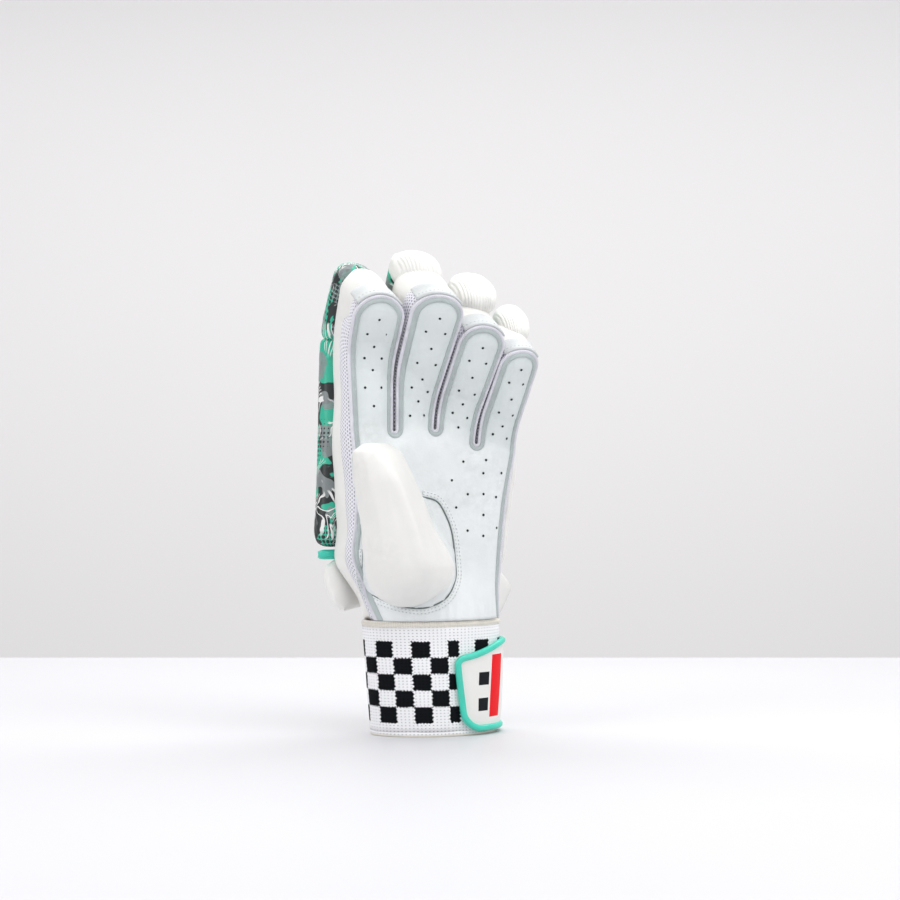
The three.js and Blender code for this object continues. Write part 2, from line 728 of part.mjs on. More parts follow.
// Piping across the back, between the finger rolls and the wrist roll.
function backPiping() {
  const z = wristZ + (ROLL_FOOT + WRIST_ROLL_LIFT + WRIST_ROLL_HEIGHT) / 2;
  const points = [];
  const steps = 12;
  for (let i = 0; i <= steps; i += 1) {
    const share = i / steps;
    const x = alongX(lerp(PIPING_FROM, PIPING_TO, share));
    const near = shellY + ROLL_SEAT + PIPING_STAND + PIPING_RADIUS;
    points.push(deform(x, near, z));
  }
  return cordAlong(points, PIPING_RADIUS, 8, 16);
}

// A point on the cuff's outside: angle in degrees, height, distance out from its face.
function cuffPoint(angle, z, out) {
  const up = z / CUFF_HEIGHT;
  const turn = degToRad(angle);
  const x = cuffMiddle(up) + (cuffHalf(up) + out) * Math.cos(turn);
  return new THREE.Vector3(x, (CUFF_DEPTH / 2 + out) * Math.sin(turn), z);
}

// A ring of the cuff between two heights and two distances from its face.
function cuffRing(low, high, inside, outside) {
  const profile = [
    [0, low], [1, low], [1, high], [0, high], [0, low],
  ].map(([out, z]) => new THREE.Vector2(1 + out, z));
  const ring = new THREE.LatheGeometry(profile, ROUND);
  const at = ring.getAttribute('position');
  for (let i = 0; i < at.count; i += 1) {
    const out = Math.hypot(at.getX(i), at.getZ(i)) > 1.5 ? outside : inside;
    const angle = THREE.MathUtils.radToDeg(Math.atan2(at.getX(i), at.getZ(i)));
    const p = cuffPoint(angle, at.getY(i), out);
    at.setXYZ(i, p.x, p.y, p.z);
  }
  return geometryOf(solid(facingOut(ring)));
}

// Turns a closed geometry's faces out, if they point in.
function facingOut(geometry) {
  const at = geometry.getAttribute('position');
  const index = [...geometry.getIndex().array];
  const points = [];
  for (let i = 0; i < at.count; i += 1) points.push(new THREE.Vector3().fromBufferAttribute(at, i));
  const faces = [];
  for (let i = 0; i < index.length; i += 3) {
    const face = index.slice(i, i + 3);
    const [a, b, c] = face.map((k) => points[k]);
    if (a.distanceTo(b) > 1e-4 && b.distanceTo(c) > 1e-4 && c.distanceTo(a) > 1e-4) faces.push(face);
  }
  return closed(points, faces);
}

// Edges of the strap at a run in mm from its free end, drawn in by inset; the end's corners are round.
const STRAP_CORNER = { high: 6, low: 12 };
const strapTurn = (run) => STRAP_END + THREE.MathUtils.radToDeg((4 * run) / (CUFF_WIDTH + CUFF_DEPTH));

function strapEdges(run, inset) {
  const round = (corner) => {
    const radius = corner - inset;
    const short = Math.max(0, corner - run);
    return radius - Math.sqrt(Math.max(0, radius * radius - short * short));
  };
  const wide = smoothstep(strapTurn(run), STRAP_END, -20);
  return {
    low: STRAP_LOW + inset + round(STRAP_CORNER.low),
    high: STRAP_HIGH - STRAP_TAPER * (1 - wide) - inset - round(STRAP_CORNER.high),
  };
}

const STRAP_LENGTH = degToRad(STRAP_START - STRAP_END) * (CUFF_WIDTH + CUFF_DEPTH) / 4;
const strapPoint = (run, z, out) => cuffPoint(strapTurn(run), z, out + GAP + TAPE_PROUD);

function strap() {
  const inset = 2 * STRAP_PIPING;
  const surface = patch(26, 3, (u, v) => {
    const run = lerp(inset, STRAP_LENGTH, u ** 1.5);
    const { low, high } = strapEdges(run, inset);
    return new THREE.Vector2(run, lerp(low, high, v));
  });
  const at = (out) => (run, z) => strapPoint(run, z, out);
  return thicken(surface, at(STRAP_THICKNESS), at(0));
}

function strapPiping() {
  const top = [];
  const bottom = [];
  const inset = STRAP_PIPING;
  for (const run of [0, 0.4, 1.5, 3, 6, 11, 20, 35, 55, 75, 95, STRAP_LENGTH - inset]) {
    const { low, high } = strapEdges(run + inset, inset);
    top.push(strapPoint(run + inset, high, STRAP_THICKNESS / 2));
    bottom.push(strapPoint(run + inset, low, STRAP_THICKNESS / 2));
  }
  return cordAlong([...top.reverse(), ...bottom], STRAP_PIPING - GAP / 2, 5, 58);
}

// Materials, with the colours of the real finishes.
const finish = (color, roughness) => new THREE.MeshStandardMaterial({ color, roughness, metalness: 0 });
const MATERIALS = {
  leather: finish('#d5dedd', 0.6),
  mesh: finish('#e9e8f2', 0.85),
  white: finish('#f6f5f0', 0.45),
  print: finish('#35b598', 0.55),
  knit: finish('#f1f1f1', 0.95),
  cream: finish('#e6dfd2', 0.9),
  teal: finish('#3fdcbd', 0.45),
};

const glove = new THREE.Group();

function add(name, geometry, material) {
  const mesh = new THREE.Mesh(geometry, MATERIALS[material]);
  mesh.name = name;
  glove.add(mesh);
}

function addCuff() {
  add('cuff_hem', cuffRing(0, HEM_HEIGHT, -CUFF_WALL, 0.3), 'cream');
  add('cuff_band', cuffRing(HEM_HEIGHT + GAP, CUFF_HEIGHT, -CUFF_WALL, 0), 'knit');
  add('cuff_tape', cuffRing(CUFF_HEIGHT + GAP, wristZ - GAP, -CUFF_WALL, TAPE_PROUD), 'cream');
  add('strap', strap(), 'white');
  add('strap_piping', strapPiping(), 'teal');
}

function addHand() {
  add('palm_leather', palmLeather(), 'leather');
  add('back_sheet', backSheet(), 'white');
  const outer = outlineRuns(0);
  const inner = outlineRuns(MESH);
  const walled = outlineRuns(SHELL_WALL);
  const proud = outlineRuns(-TAB_PROUD);
  const under = outlineRuns(LEATHER - TAB_PROUD);
  outer.forEach(({ name }, i) => {
    const tab = name.startsWith('tip_tab');
    const [out, within] = tab ? [proud, under] : [outer, inner];
    const ends = [i > 0, i < outer.length - 1];
    const geometry = ribbon(
      trimmed(out[i].points, ...ends),
      trimmed(within[i].points, ...ends),
      meshFront,
      meshBack,
    );
    add(name, geometry, tab ? 'leather' : 'mesh');
    const rim = ribbon(
      trimmed(outer[i].points, ...ends),
      trimmed(walled[i].points, ...ends),
      rimFront,
      shellY - SHELL_BACK - RIM_SEAT,
    );
    add(`rim_${name.replace('_mesh', '').replace('_tab', '')}`, rim, 'white');
  });
}

function addRolls() {
  ROLLS.forEach(({ name }, i) => {
    add(`lower_roll_${name}`, lowerRoll(i), 'print');
    add(`tip_roll_${name}`, tipRoll(i), i ? 'white' : 'print');
  });
  add('wrist_roll', wristRoll(), 'white');
  add('side_roll', sideRoll(), 'white');
  add('back_piping', backPiping(), 'teal');
}

function addThumb() {
  add('thumb_guard', thumbGuard(), 'white');
  add('thumb_leather', thumbLeather(), 'leather');
}

addCuff();
addHand();
addRolls();
addThumb();

// The origin is the middle of the glove's box, on the surface that the cuff stands on.
const box = new THREE.Box3().setFromObject(glove, true);
const centre = box.getCenter(new THREE.Vector3());
glove.position.set(-centre.x, -centre.y, -box.min.z);

export default glove;
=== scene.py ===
"""Looks of a cricket batting glove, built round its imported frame."""

import bisect
import math

import bmesh
import bpy
from bpy.props import FloatProperty, FloatVectorProperty, IntProperty, PointerProperty
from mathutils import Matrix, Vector, kdtree, noise


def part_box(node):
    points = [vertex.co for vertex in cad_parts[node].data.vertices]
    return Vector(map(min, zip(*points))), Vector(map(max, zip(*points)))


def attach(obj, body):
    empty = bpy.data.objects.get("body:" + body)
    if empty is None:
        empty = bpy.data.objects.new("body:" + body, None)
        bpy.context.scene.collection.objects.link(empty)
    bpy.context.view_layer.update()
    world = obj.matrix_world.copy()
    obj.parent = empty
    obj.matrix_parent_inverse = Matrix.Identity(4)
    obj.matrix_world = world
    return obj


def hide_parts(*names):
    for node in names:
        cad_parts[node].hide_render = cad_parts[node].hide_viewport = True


bl_info = {
    "name": "Batting Glove",
    "version": (1, 0, 0),
    "blender": (4, 5, 0),
    "location": "3D View > Sidebar > Glove",
    "description": "Leather, mesh, padded rolls, cuff and strap of a cricket batting glove",
    "category": "Object",
}

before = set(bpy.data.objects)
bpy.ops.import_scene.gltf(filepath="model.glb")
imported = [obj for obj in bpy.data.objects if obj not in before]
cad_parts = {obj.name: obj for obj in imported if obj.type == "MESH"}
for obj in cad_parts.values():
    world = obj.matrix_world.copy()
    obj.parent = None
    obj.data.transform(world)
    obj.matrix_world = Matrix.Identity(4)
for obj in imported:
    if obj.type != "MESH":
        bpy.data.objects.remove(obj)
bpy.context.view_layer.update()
MM = 0.001

# Sizes of the solids in mm, as in the part's source
CUFF_HEIGHT, CUFF_WIDTH, CUFF_DEPTH = 70, 87, 57
CUFF_FLARE, CUFF_LEAN, CUFF_WALL = 6, 2.6, 2.6
HEM_HEIGHT, TAPE_HEIGHT, TAPE_PROUD, GAP = 2.6, 3.2, 0.8, 0.4
HAND_LENGTH, PALM_WIDTH, HAND_DEPTH, PALM_FORWARD = 230, 113, 38, 18
LEATHER, MESH_SEAT, MESH_DEPTH = 1.6, 1, 10.5
SHELL_WALL, SHELL_BACK, ROOT_GAP = 3, 4.5, 4
EDGE_DROP, EDGE_RUN = 3.6, 8
FLARE, WRIST_BLEND, CURL_RUN = 0.06, 40, 32
CURL_ANGLE = math.radians(34)
ROLL_DEPTH, ROLL_SEAT, ROLL_FOOT = 23, 1, 45
THUMB_LENGTH, THUMB_WIDTH, THUMB_RIM, THUMB_LIFT = 104, 57, 9, 9.5
STRAP_THICKNESS, STRAP_END, STRAP_START = 2.2, -88, 96
STRAP_LOW, STRAP_HIGH, STRAP_TAPER, STRAP_PIPING = 3.2, 60, 9, 1.7
STRAP_CORNER_HIGH, STRAP_CORNER_LOW = 6, 12

PALM_Y = -PALM_FORWARD
SHELL_Y = PALM_Y + HAND_DEPTH
WRIST_Z = CUFF_HEIGHT + TAPE_HEIGHT + 2 * GAP
MESH_FRONT = PALM_Y + EDGE_DROP + LEATHER + MESH_SEAT
MESH_BACK = MESH_FRONT + MESH_DEPTH
THUMB_Z = WRIST_Z + THUMB_LIFT
RIM_Y = PALM_Y - THUMB_RIM

# Sizes in mm that only the dressed glove has
WRIST_ROLL_MIDDLE = 20.5  # from the wrist up
SEAM_LOW, SEAM_HIGH = 4.5, 10  # how far the mesh reaches over the shell, at the wrist and at the fingers
SEAM_RISE = (76, 150)  # heights over the wrist between which the seam comes forward
SIDE_DRAW = 4.2  # how far the white rim is drawn in on the index side
SIDE_DRAW_RISE = (100, 150)  # heights over the wrist between which the rim is drawn in
WAIST_UP, WAIST_RUN, WAIST_DRAW = 50, 18, 0.8  # the rim's narrow place behind the thumb
WRIST_FLARE = 13  # how far the rim stands out at the wrist, on the little finger's side
FLARE_RISE, FLARE_FADE = 18, (17, 37)  # heights over the wrist
THUMB_HOLE_UP, THUMB_HOLE_RADIUS = 0.24, 16  # share of the thumb's length, mm
HOLE_TOP, HOLE_RISE, HOLE_LIFT = 1.02, 11.7, 0.12  # share of a finger, mm between rows, mm over the leather
SHELL_INSET = 0.3  # of the back sheet from the outline

# Length, gap and width of stitches in mm; the edge's have their length from the panel
EDGE_STITCH, TAB_STITCH, THUMB_STITCH = (1.1, 0.5), (1.6, 1.0, 0.45), (1.5, 1.0, 0.55)

# name, tip x, tip z, radius, root x, root z, rows of holes
FINGERS = [
    ("index", -0.452, 0.893, 0.136, -0.3, 0.53, 7),
    ("middle", -0.15, 0.918, 0.13, -0.054, 0.535, 8),
    ("ring", 0.124, 0.836, 0.121, 0.2, 0.495, 7),
    ("little", 0.362, 0.777, 0.106, 0.434, 0.462, 6),
]
INDEX_ROOT = (-0.55, 0.53)
# share of the height to the finger roots, left, right
SIDES = [
    (0, -0.395, 0.367),
    (0.17, -0.465, 0.345),
    (0.33, -0.545, 0.348),
    (0.52, -0.528, 0.362),
    (0.72, -0.523, 0.384),
    (1, -0.55, 0.434),
]
# x, z where the fingers start to curl
CURL_STARTS = [(-0.4, 0.69), (-0.13, 0.575), (0.11, 0.535), (0.34, 0.475)]
# name, foot, split, top, shift, lean, width, ball, hang
ROLLS = [
    ("index", -0.46, 0.755, 0.95, -0.024, 0.004, 0.118, 0.112, 0),
    ("middle", -0.168, 0.74, 1.008, -0.01, -0.01, 0.114, 0.136, 1),
    ("ring", 0.088, 0.69, 0.952, 0.01, 0.01, 0.106, 0.114, 1),
    ("little", 0.322, 0.63, 0.858, 0.02, 0.026, 0.094, 0.096, 1),
]
# share of the height, middle, half-width
THUMB = [
    (0, -0.56, 0.1),
    (0.025, -0.55, 0.24),
    (0.09, -0.545, 0.4),
    (0.22, -0.535, 0.505),
    (0.36, -0.6, 0.47),
    (0.52, -0.675, 0.418),
    (0.7, -0.77, 0.38),
    (0.86, -0.86, 0.33),
    (0.96, -0.9, 0.275),
    (1, -0.91, 0.15),
]
THUMB_HOLE_X = -0.535  # middle of the thumb's hole
# x from the cuff's middle and z from the wrist, in mm
PALM_HOLES = [
    (12, 101.5), (28, 102.5), (26, 94), (39, 94), (4, 89.5), (15, 80.5), (26, 80.5), (35, 78.5),
    (7, 72), (26, 67), (15, 57), (36, 58.5), (26, 53.5),
]
# The same for the seam round the thumb, from its upper end down on the right and round to the left
THUMB_SEAM = [
    (-17, 79.5), (-6, 76), (0.5, 66), (4.6, 54), (6.6, 34), (4.5, 24), (-2.5, 14.5), (-14, 9), (-25, 8.2),
    (-39, 11.6), (-50, 18.5), (-55.2, 27.4), (-56.8, 46),
]
# name of the finger, front of the ball at its tip, height and half-width, in mm
BALLS = [("middle", 13, 27, 14.2), ("ring", 7, 22, 13.6), ("little", 6, 18, 10.4)]


def lerp(a, b, t):
    return a + (b - a) * t


def clamp(t, low=0.0, high=1.0):
    return min(high, max(low, t))


def smoothstep(t, low, high):
    t = clamp((t - low) / (high - low))
    return t * t * (3 - 2 * t)


def reader(table, column):
    """Reads a column of a table against its first one, along the curve that the solids follow."""
    keys = [row[0] for row in table]
    values = [row[column] for row in table]
    last = len(keys) - 1

    def read(t):
        t = clamp(t, keys[0], keys[-1])
        i = min(max(bisect.bisect_right(keys, t), 1), last)
        t0, t1 = keys[i - 1], keys[i]
        before, behind = (keys[i - 2], values[i - 2]) if i > 1 else (t1, values[i])
        after, ahead = (keys[i + 1], values[i + 1]) if i < last else (t0, values[i - 1])
        w0 = (t1 - t0) / 2 / (t0 - before)
        w1 = (t1 - t0) / 2 / (after - t1)
        p = (t - t0) / (t1 - t0)
        q = p * p
        r = q * p
        return (
            (-w0 * r + 2 * w0 * q - w0 * p) * behind
            + ((1 + w0) * r + (-1.5 - 2 * w0) * q + (-0.5 + w0) * p + 1) * values[i - 1]
            + ((-1 - w1) * r + (1.5 + w1) * q + 0.5 * p) * values[i]
            + (w1 * r - w1 * q) * ahead
        )

    return read


palm_left, palm_right = reader(SIDES, 1), reader(SIDES, 2)
curl_start = reader(CURL_STARTS, 1)
root_height = reader([INDEX_ROOT] + [finger[4:6] for finger in FINGERS], 1)
thumb_middle, thumb_half = reader(THUMB, 1), reader(THUMB, 2)
HEM_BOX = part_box("cuff_hem")
ORIGIN = Vector((HEM_BOX[0][0] + HEM_BOX[1][0], HEM_BOX[0][1] + HEM_BOX[1][1], 0)) / 2


def along_z(share):
    return WRIST_Z + share * HAND_LENGTH


def cuff_half(up):
    return (CUFF_WIDTH + CUFF_FLARE * up) / 2


def wrist_shift(x, y):
    side = (x + CUFF_LEAN) / (cuff_half(1) + 1)
    arc = CUFF_DEPTH / 2 * math.sqrt(max(0.04, 1 - side * side))
    depth = (y - PALM_Y - LEATHER) / (HAND_DEPTH - LEATHER - SHELL_BACK)
    return lerp(-arc - PALM_Y, arc - SHELL_Y, clamp(depth))


def place(x, y, z):
    """The part's point, in metres, for a point of the flat hand in mm."""
    wrist = 1 - smoothstep(z, WRIST_Z, WRIST_Z + WRIST_BLEND)
    wide = x + FLARE * x * clamp((y - PALM_Y) / HAND_DEPTH, -0.5, 1.8) * (1 - wrist)
    deep = y + (wrist_shift(x, y) * wrist if wrist else 0)
    start = along_z(curl_start(x / PALM_WIDTH))
    angle = CURL_ANGLE * clamp(z - start, 0, CURL_RUN) / CURL_RUN
    past = max(0, z - start - CURL_RUN)
    radius = CURL_RUN / CURL_ANGLE
    return ORIGIN + MM * Vector((
        wide,
        -radius * (1 - math.cos(angle)) - past * math.sin(CURL_ANGLE) + deep * math.cos(angle),
        min(z, start) + radius * math.sin(angle) + past * math.cos(CURL_ANGLE) + deep * math.sin(angle),
    ))


def unbend(co):
    """The flat hand's point in mm for a point of the part, above the wrist."""
    x, y, z = (co - ORIGIN) / MM
    wide = 1
    for _ in range(2):
        start = along_z(curl_start(x / wide / PALM_WIDTH))
        radius = CURL_RUN / CURL_ANGLE
        angle = clamp(math.atan2(z - start, y + radius), 0, CURL_ANGLE)
        normal = (math.cos(angle), math.sin(angle))
        foot = (-radius * (1 - normal[0]), start + radius * normal[1])
        deep = (y - foot[0]) * normal[0] + (z - foot[1]) * normal[1]
        run = (z - foot[1]) * normal[0] - (y - foot[0]) * normal[1]
        wide = 1 + FLARE * clamp((deep - PALM_Y) / HAND_DEPTH, -0.5, 1.8)
    return x / wide, deep, start + CURL_RUN * angle / CURL_ANGLE + run


def roots(i, inset):
    half = ROOT_GAP / 2 + inset
    _, _, _, _, root_x, root_z, _ = FINGERS[i]
    if i:
        left = Vector((FINGERS[i - 1][4] * PALM_WIDTH + half, along_z(FINGERS[i - 1][5])))
    else:
        left = Vector((INDEX_ROOT[0] * PALM_WIDTH + inset, along_z(INDEX_ROOT[1])))
    drawn = inset if i == len(FINGERS) - 1 else half
    return left, Vector((root_x * PALM_WIDTH - drawn, along_z(root_z)))


def roots_z(i):
    """The height share of the root left of finger i."""
    return FINGERS[i - 1][5] if i else INDEX_ROOT[1]


def tip_centre(i):
    return Vector((FINGERS[i][1] * PALM_WIDTH, along_z(FINGERS[i][2])))


def finger_point(i, across, up, inset=0.0):
    """A flat point of a finger: up is 0 at its root, 1 at the tip's centre and 2 at the tip's end."""
    left, right = roots(i, inset)
    tip = tip_centre(i)
    radius = FINGERS[i][3] * PALM_WIDTH - inset
    axis = (tip - (left + right) / 2).normalized()
    side = Vector((axis.y, -axis.x))
    if up <= 1:
        return left.lerp(tip - side * radius, up).lerp(right.lerp(tip + side * radius, up), across)
    part = up - 1
    angle = math.radians(60) * part
    off = radius * math.cos(angle) * (2 * across - 1)
    rise = lerp(radius * math.sin(angle), math.sqrt(max(0, radius * radius - off * off)), part)
    return tip + side * off + axis * rise


def crotch(i, share, inset=0.0):
    """A flat point of the round notch right of finger i, from its left to its right."""
    half = ROOT_GAP / 2 + inset
    angle = math.pi * (1 + share)
    x, z = FINGERS[i][4] * PALM_WIDTH, along_z(FINGERS[i][5])
    return Vector((x + half * math.cos(angle), z + half * math.sin(angle)))


ACROSS = [0, 0.03, 0.07, 0.12, 0.18, 0.26, 0.36, 0.5, 0.64, 0.74, 0.82, 0.88, 0.93, 0.97, 1]
NOTCH = [k / 8 for k in range(1, 8)]
TIP_ARC = [k / 16 for k in range(17)]
SIDE_STEPS = 24  # along a finger's side
PALM_ROWS, FINGER_ROWS = 56, 30  # of faces: up the palm, and from a finger's root to its tip's centre
BACK_ROWS, BACK_FINGER_ROWS = 40, 22  # the same for the back sheet
ARC_SIDE = 6  # points of a tip's arc that a side wall takes


def root_row(inset):
    row = []
    for i in range(len(FINGERS)):
        row += [finger_point(i, across, 0, inset) for across in ACROSS]
        if i < len(FINGERS) - 1:
            row += [crotch(i, share, inset) for share in NOTCH]
    return row


def palm_point(row, column, up, inset):
    left = palm_left(up) * PALM_WIDTH + inset
    right = palm_right(up) * PALM_WIDTH - inset
    share = (row[column].x - row[0].x) / (row[-1].x - row[0].x)
    return Vector((lerp(left, right, share), lerp(WRIST_Z, row[column].y, up)))


def finger_side(i, across, inset):
    """A finger's side from its root to just below the tip's arc."""
    return [finger_point(i, across, k / SIDE_STEPS, inset) for k in range(SIDE_STEPS)]


def tip_arc(i, inset):
    """The round end of a finger, from its left to its right."""
    tip = tip_centre(i)
    left = finger_point(i, 0, 1, inset) - tip
    turned = Vector((-left.y, left.x))
    return [tip + left * math.cos(math.pi * t) - turned * math.sin(math.pi * t) for t in TIP_ARC]


def up_side(i, inset):
    return finger_side(i, 0, inset) + tip_arc(i, inset)[:ARC_SIDE]


def down_side(i, inset):
    return tip_arc(i, inset)[-ARC_SIDE:] + finger_side(i, 1, inset)[::-1]


def palm_side(which, inset, steps=44):
    read, sign, root = (palm_left, 1, INDEX_ROOT[1]) if which == "left" else (palm_right, -1, FINGERS[-1][5])
    return [
        Vector((read(k / steps) * PALM_WIDTH + sign * inset, lerp(WRIST_Z, along_z(root), k / steps)))
        for k in range(steps)
    ]


def outline(inset):
    """The hand's flat outline from the wrist on the thumb's side round every finger."""
    points = palm_side("left", inset)
    for i in range(len(FINGERS)):
        points += finger_side(i, 0, inset) + tip_arc(i, inset) + finger_side(i, 1, inset)[::-1]
        if i < len(FINGERS) - 1:
            points += [crotch(i, share, inset) for share in NOTCH]
    return points + palm_side("right", inset)[::-1]


def close_border(parts=6):
    """A search tree of close points along the hand's outline."""
    points = outline(0)
    close = [a.lerp(b, k / parts) for a, b in zip(points, points[1:]) for k in range(parts)]
    tree = kdtree.KDTree(len(close))
    for k, p in enumerate(close):
        tree.insert((p.x, p.y, 0), k)
    tree.balance()
    return tree


BORDER = close_border()


def from_edge(x, z):
    return BORDER.find((x, z, 0))[2]


def seam_y(x, z):
    """Depth of the seam between the mesh and the shell, further forward at the fingertips."""
    near = min(
        math.hypot(x - tip_x * PALM_WIDTH, z - along_z(tip_z)) / (radius * PALM_WIDTH)
        for _, tip_x, tip_z, radius, _, _, _ in FINGERS
    )
    deep = lerp(SEAM_LOW, SEAM_HIGH, smoothstep(z - WRIST_Z, *SEAM_RISE))
    if x > 0 and z < WRIST_Z + 46:
        deep = lerp(MESH_FRONT - MESH_BACK + 2, deep, smoothstep(z, WRIST_Z + 30, WRIST_Z + 46))
    return MESH_BACK + lerp(1, deep, smoothstep(near, 1.02, 1.45))


def drawn_in(p):
    """How far the back is shifted towards +x near the index side, and near the little finger's, in mm."""
    root, tip = along_z(INDEX_ROOT[1]), along_z(FINGERS[0][2])
    left = palm_left(clamp((p.y - WRIST_Z) / (root - WRIST_Z))) * PALM_WIDTH
    if p.y > root:
        left = finger_point(0, 0, min(1, (p.y - root) / (tip - root))).x
    up = p.y - WRIST_Z
    near = 1 - smoothstep(p.x - left, 2, 14)
    waist = WAIST_DRAW * math.exp(-(((up - WAIST_UP) / WAIST_RUN) ** 2))
    draw = SIDE_DRAW * near * (smoothstep(up, *SIDE_DRAW_RISE) + waist)
    right = palm_right(clamp(up / (along_z(FINGERS[-1][5]) - WRIST_Z))) * PALM_WIDTH
    near = 1 - smoothstep(right - p.x, 1, 12)
    return draw, WRIST_FLARE * near * clamp(up / FLARE_RISE) ** 0.6 * (1 - smoothstep(up, *FLARE_FADE))


def leather_y(x, z):
    edge = 1 - clamp(from_edge(x, z) / EDGE_RUN)
    return PALM_Y + EDGE_DROP * edge * edge


def grid(bm, columns, rows, point, uv=None):
    """A grid whose vertices are placed by point(column, row), with its own UV map."""
    made = bmesh.ops.create_grid(bm, x_segments=columns, y_segments=rows, size=0.5)["verts"]
    layer = bm.loops.layers.uv.verify()
    marks = {}
    for vert in made:
        column = round((vert.co.x + 0.5) * columns)
        row = round((vert.co.y + 0.5) * rows)
        vert.co = point(column, row)
        marks[vert] = uv(column, row) if uv else (column, row)
    for face in {face for vert in made for face in vert.link_faces}:
        for loop in face.loops:
            loop[layer].uv = marks[loop.vert]
    return made


def lengths_along(points):
    """The distance from the first of some points along them to each, in mm."""
    lengths = [0.0]
    for a, b in zip(points, points[1:]):
        lengths.append(lengths[-1] + (b - a).length / MM)
    return lengths


def skin(bm, rails, closed=False, uv=None):
    """A skin over rails of equally many points; closed joins the last rail to the first."""
    rails = rails + [rails[0]] if closed else rails
    made = grid(bm, len(rails[0]) - 1, len(rails) - 1, lambda c, r: rails[r][c], uv)
    if closed:
        bmesh.ops.remove_doubles(bm, verts=made, dist=1e-7)


def mesh_of(name, bm):
    mesh = bpy.data.meshes.new(name)
    bm.to_mesh(mesh)
    bm.free()
    return mesh


def piece(name, bm, material, nodes=(), thickness=0.0, levels=0):
    """Makes the finished object of a bmesh and ties it to the frame."""
    bmesh.ops.recalc_face_normals(bm, faces=bm.faces)
    return finished(name, mesh_of(name, bm), material, nodes, thickness, levels)


def finished(name, mesh, material, nodes=(), thickness=0.0, levels=0):
    """Makes the object of a mesh, with its finish, wall and smoothing, and ties it to the frame."""
    mesh.materials.clear()
    mesh.materials.append(material)
    mesh.shade_smooth()
    made = bpy.data.objects.new(name, mesh)
    bpy.context.scene.collection.objects.link(made)
    if thickness:
        wall = made.modifiers.new("wall", "SOLIDIFY")
        wall.thickness = thickness * MM
        wall.offset = -1
    if levels:
        subdivision = made.modifiers.new("subdivision", "SUBSURF")
        subdivision.levels = subdivision.render_levels = levels
    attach(made, "root")
    if nodes:
        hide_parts(*nodes)
    return made


def node_mesh(node):
    """A merged copy of a solid's mesh."""
    bm = bmesh.new()
    bm.from_mesh(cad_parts[node].data)
    bmesh.ops.remove_doubles(bm, verts=bm.verts, dist=2e-6)
    return mesh_of(node + "_copy", bm)


# Shader nodes
class Shader:
    """Adds shader nodes to a tree and joins them."""

    def __init__(self, tree):
        self.tree = tree

    def new(self, kind, inputs=(), output=0, **settings):
        node = self.tree.nodes.new(kind)
        for key, value in settings.items():
            setattr(node, key, value)
        for key, value in dict(inputs).items():
            self.join(value, node.inputs[key])
        return node.outputs[output] if node.outputs else node

    def join(self, value, socket):
        if isinstance(value, bpy.types.NodeSocket):
            self.tree.links.new(value, socket)
        else:
            socket.default_value = value

    def math(self, operation, *values, clamped=False):
        return self.new("ShaderNodeMath", enumerate(values), operation=operation, use_clamp=clamped)

    def vector(self, operation, *values):
        return self.new("ShaderNodeVectorMath", enumerate(values), operation=operation)

    def scaled(self, vector, scale):
        return self.new("ShaderNodeVectorMath", {0: vector, 3: scale}, operation="SCALE")

    def noise(self, vector, scale, detail=2.0, roughness=0.5):
        inputs = {"Vector": vector, "Scale": scale, "Detail": detail, "Roughness": roughness}
        return self.new("ShaderNodeTexNoise", inputs)

    def drift(self, vector, scale, reach):
        """A slow shift of a pattern, as a vector."""
        inputs = {"Vector": vector, "Scale": scale, "Detail": 1.0}
        return self.scaled(self.new("ShaderNodeTexNoise", inputs, output=1), reach)

    def voronoi(self, vector, scale, randomness=1.0):
        return self.new("ShaderNodeTexVoronoi", {"Vector": vector, "Scale": scale, "Randomness": randomness})

    def step(self, value, low, high):
        inputs = {"Value": value, "From Min": low, "From Max": high}
        return self.new("ShaderNodeMapRange", inputs, interpolation_type="SMOOTHSTEP")

    def mix(self, factor, a, b, blend="MIX"):
        node = self.tree.nodes.new("ShaderNodeMix")
        node.data_type = "RGBA"
        node.blend_type = blend
        for key, value in ((0, factor), (6, a), (7, b)):
            self.join(value, node.inputs[key])
        return node.outputs[2]

    def split(self, vector):
        node = self.tree.nodes.new("ShaderNodeSeparateXYZ")
        self.join(vector, node.inputs[0])
        return node.outputs

    def combine(self, *values):
        return self.new("ShaderNodeCombineXYZ", enumerate(values))

    def bump(self, height, depth, strength):
        """A normal from a height, with the relief's depth in mm."""
        return self.new("ShaderNodeBump", {"Height": height, "Distance": depth * MM, "Strength": strength})

    def mottle(self, vector, scale, detail, a, b):
        """A colour that drifts softly between two."""
        return self.mix(self.step(self.noise(vector, scale, detail), 0.3, 0.7), a, b)


def rgb(colour, share=1.0):
    """A shader's colour, darker or paler by a share."""
    return (*(value * share for value in colour[:3]), 1.0)


def group(name, inputs, outputs, build):
    """A shared node group with named sockets, built once."""
    tree = bpy.data.node_groups.new(name, "ShaderNodeTree")
    kinds = {"f": "NodeSocketFloat", "v": "NodeSocketVector", "c": "NodeSocketColor"}
    for key, kind in inputs.items():
        tree.interface.new_socket(key, in_out="INPUT", socket_type=kinds[kind])
    for key, kind in outputs.items():
        tree.interface.new_socket(key, in_out="OUTPUT", socket_type=kinds[kind])
    shader = Shader(tree)
    source = tree.nodes.new("NodeGroupInput")
    sink = tree.nodes.new("NodeGroupOutput")
    for key, value in build(shader, source.outputs).items():
        shader.join(value, sink.inputs[key])
    return tree


def use(shader, tree, inputs):
    node = shader.tree.nodes.new("ShaderNodeGroup")
    node.node_tree = tree
    for key, value in inputs.items():
        shader.join(value, node.inputs[key])
    return node.outputs


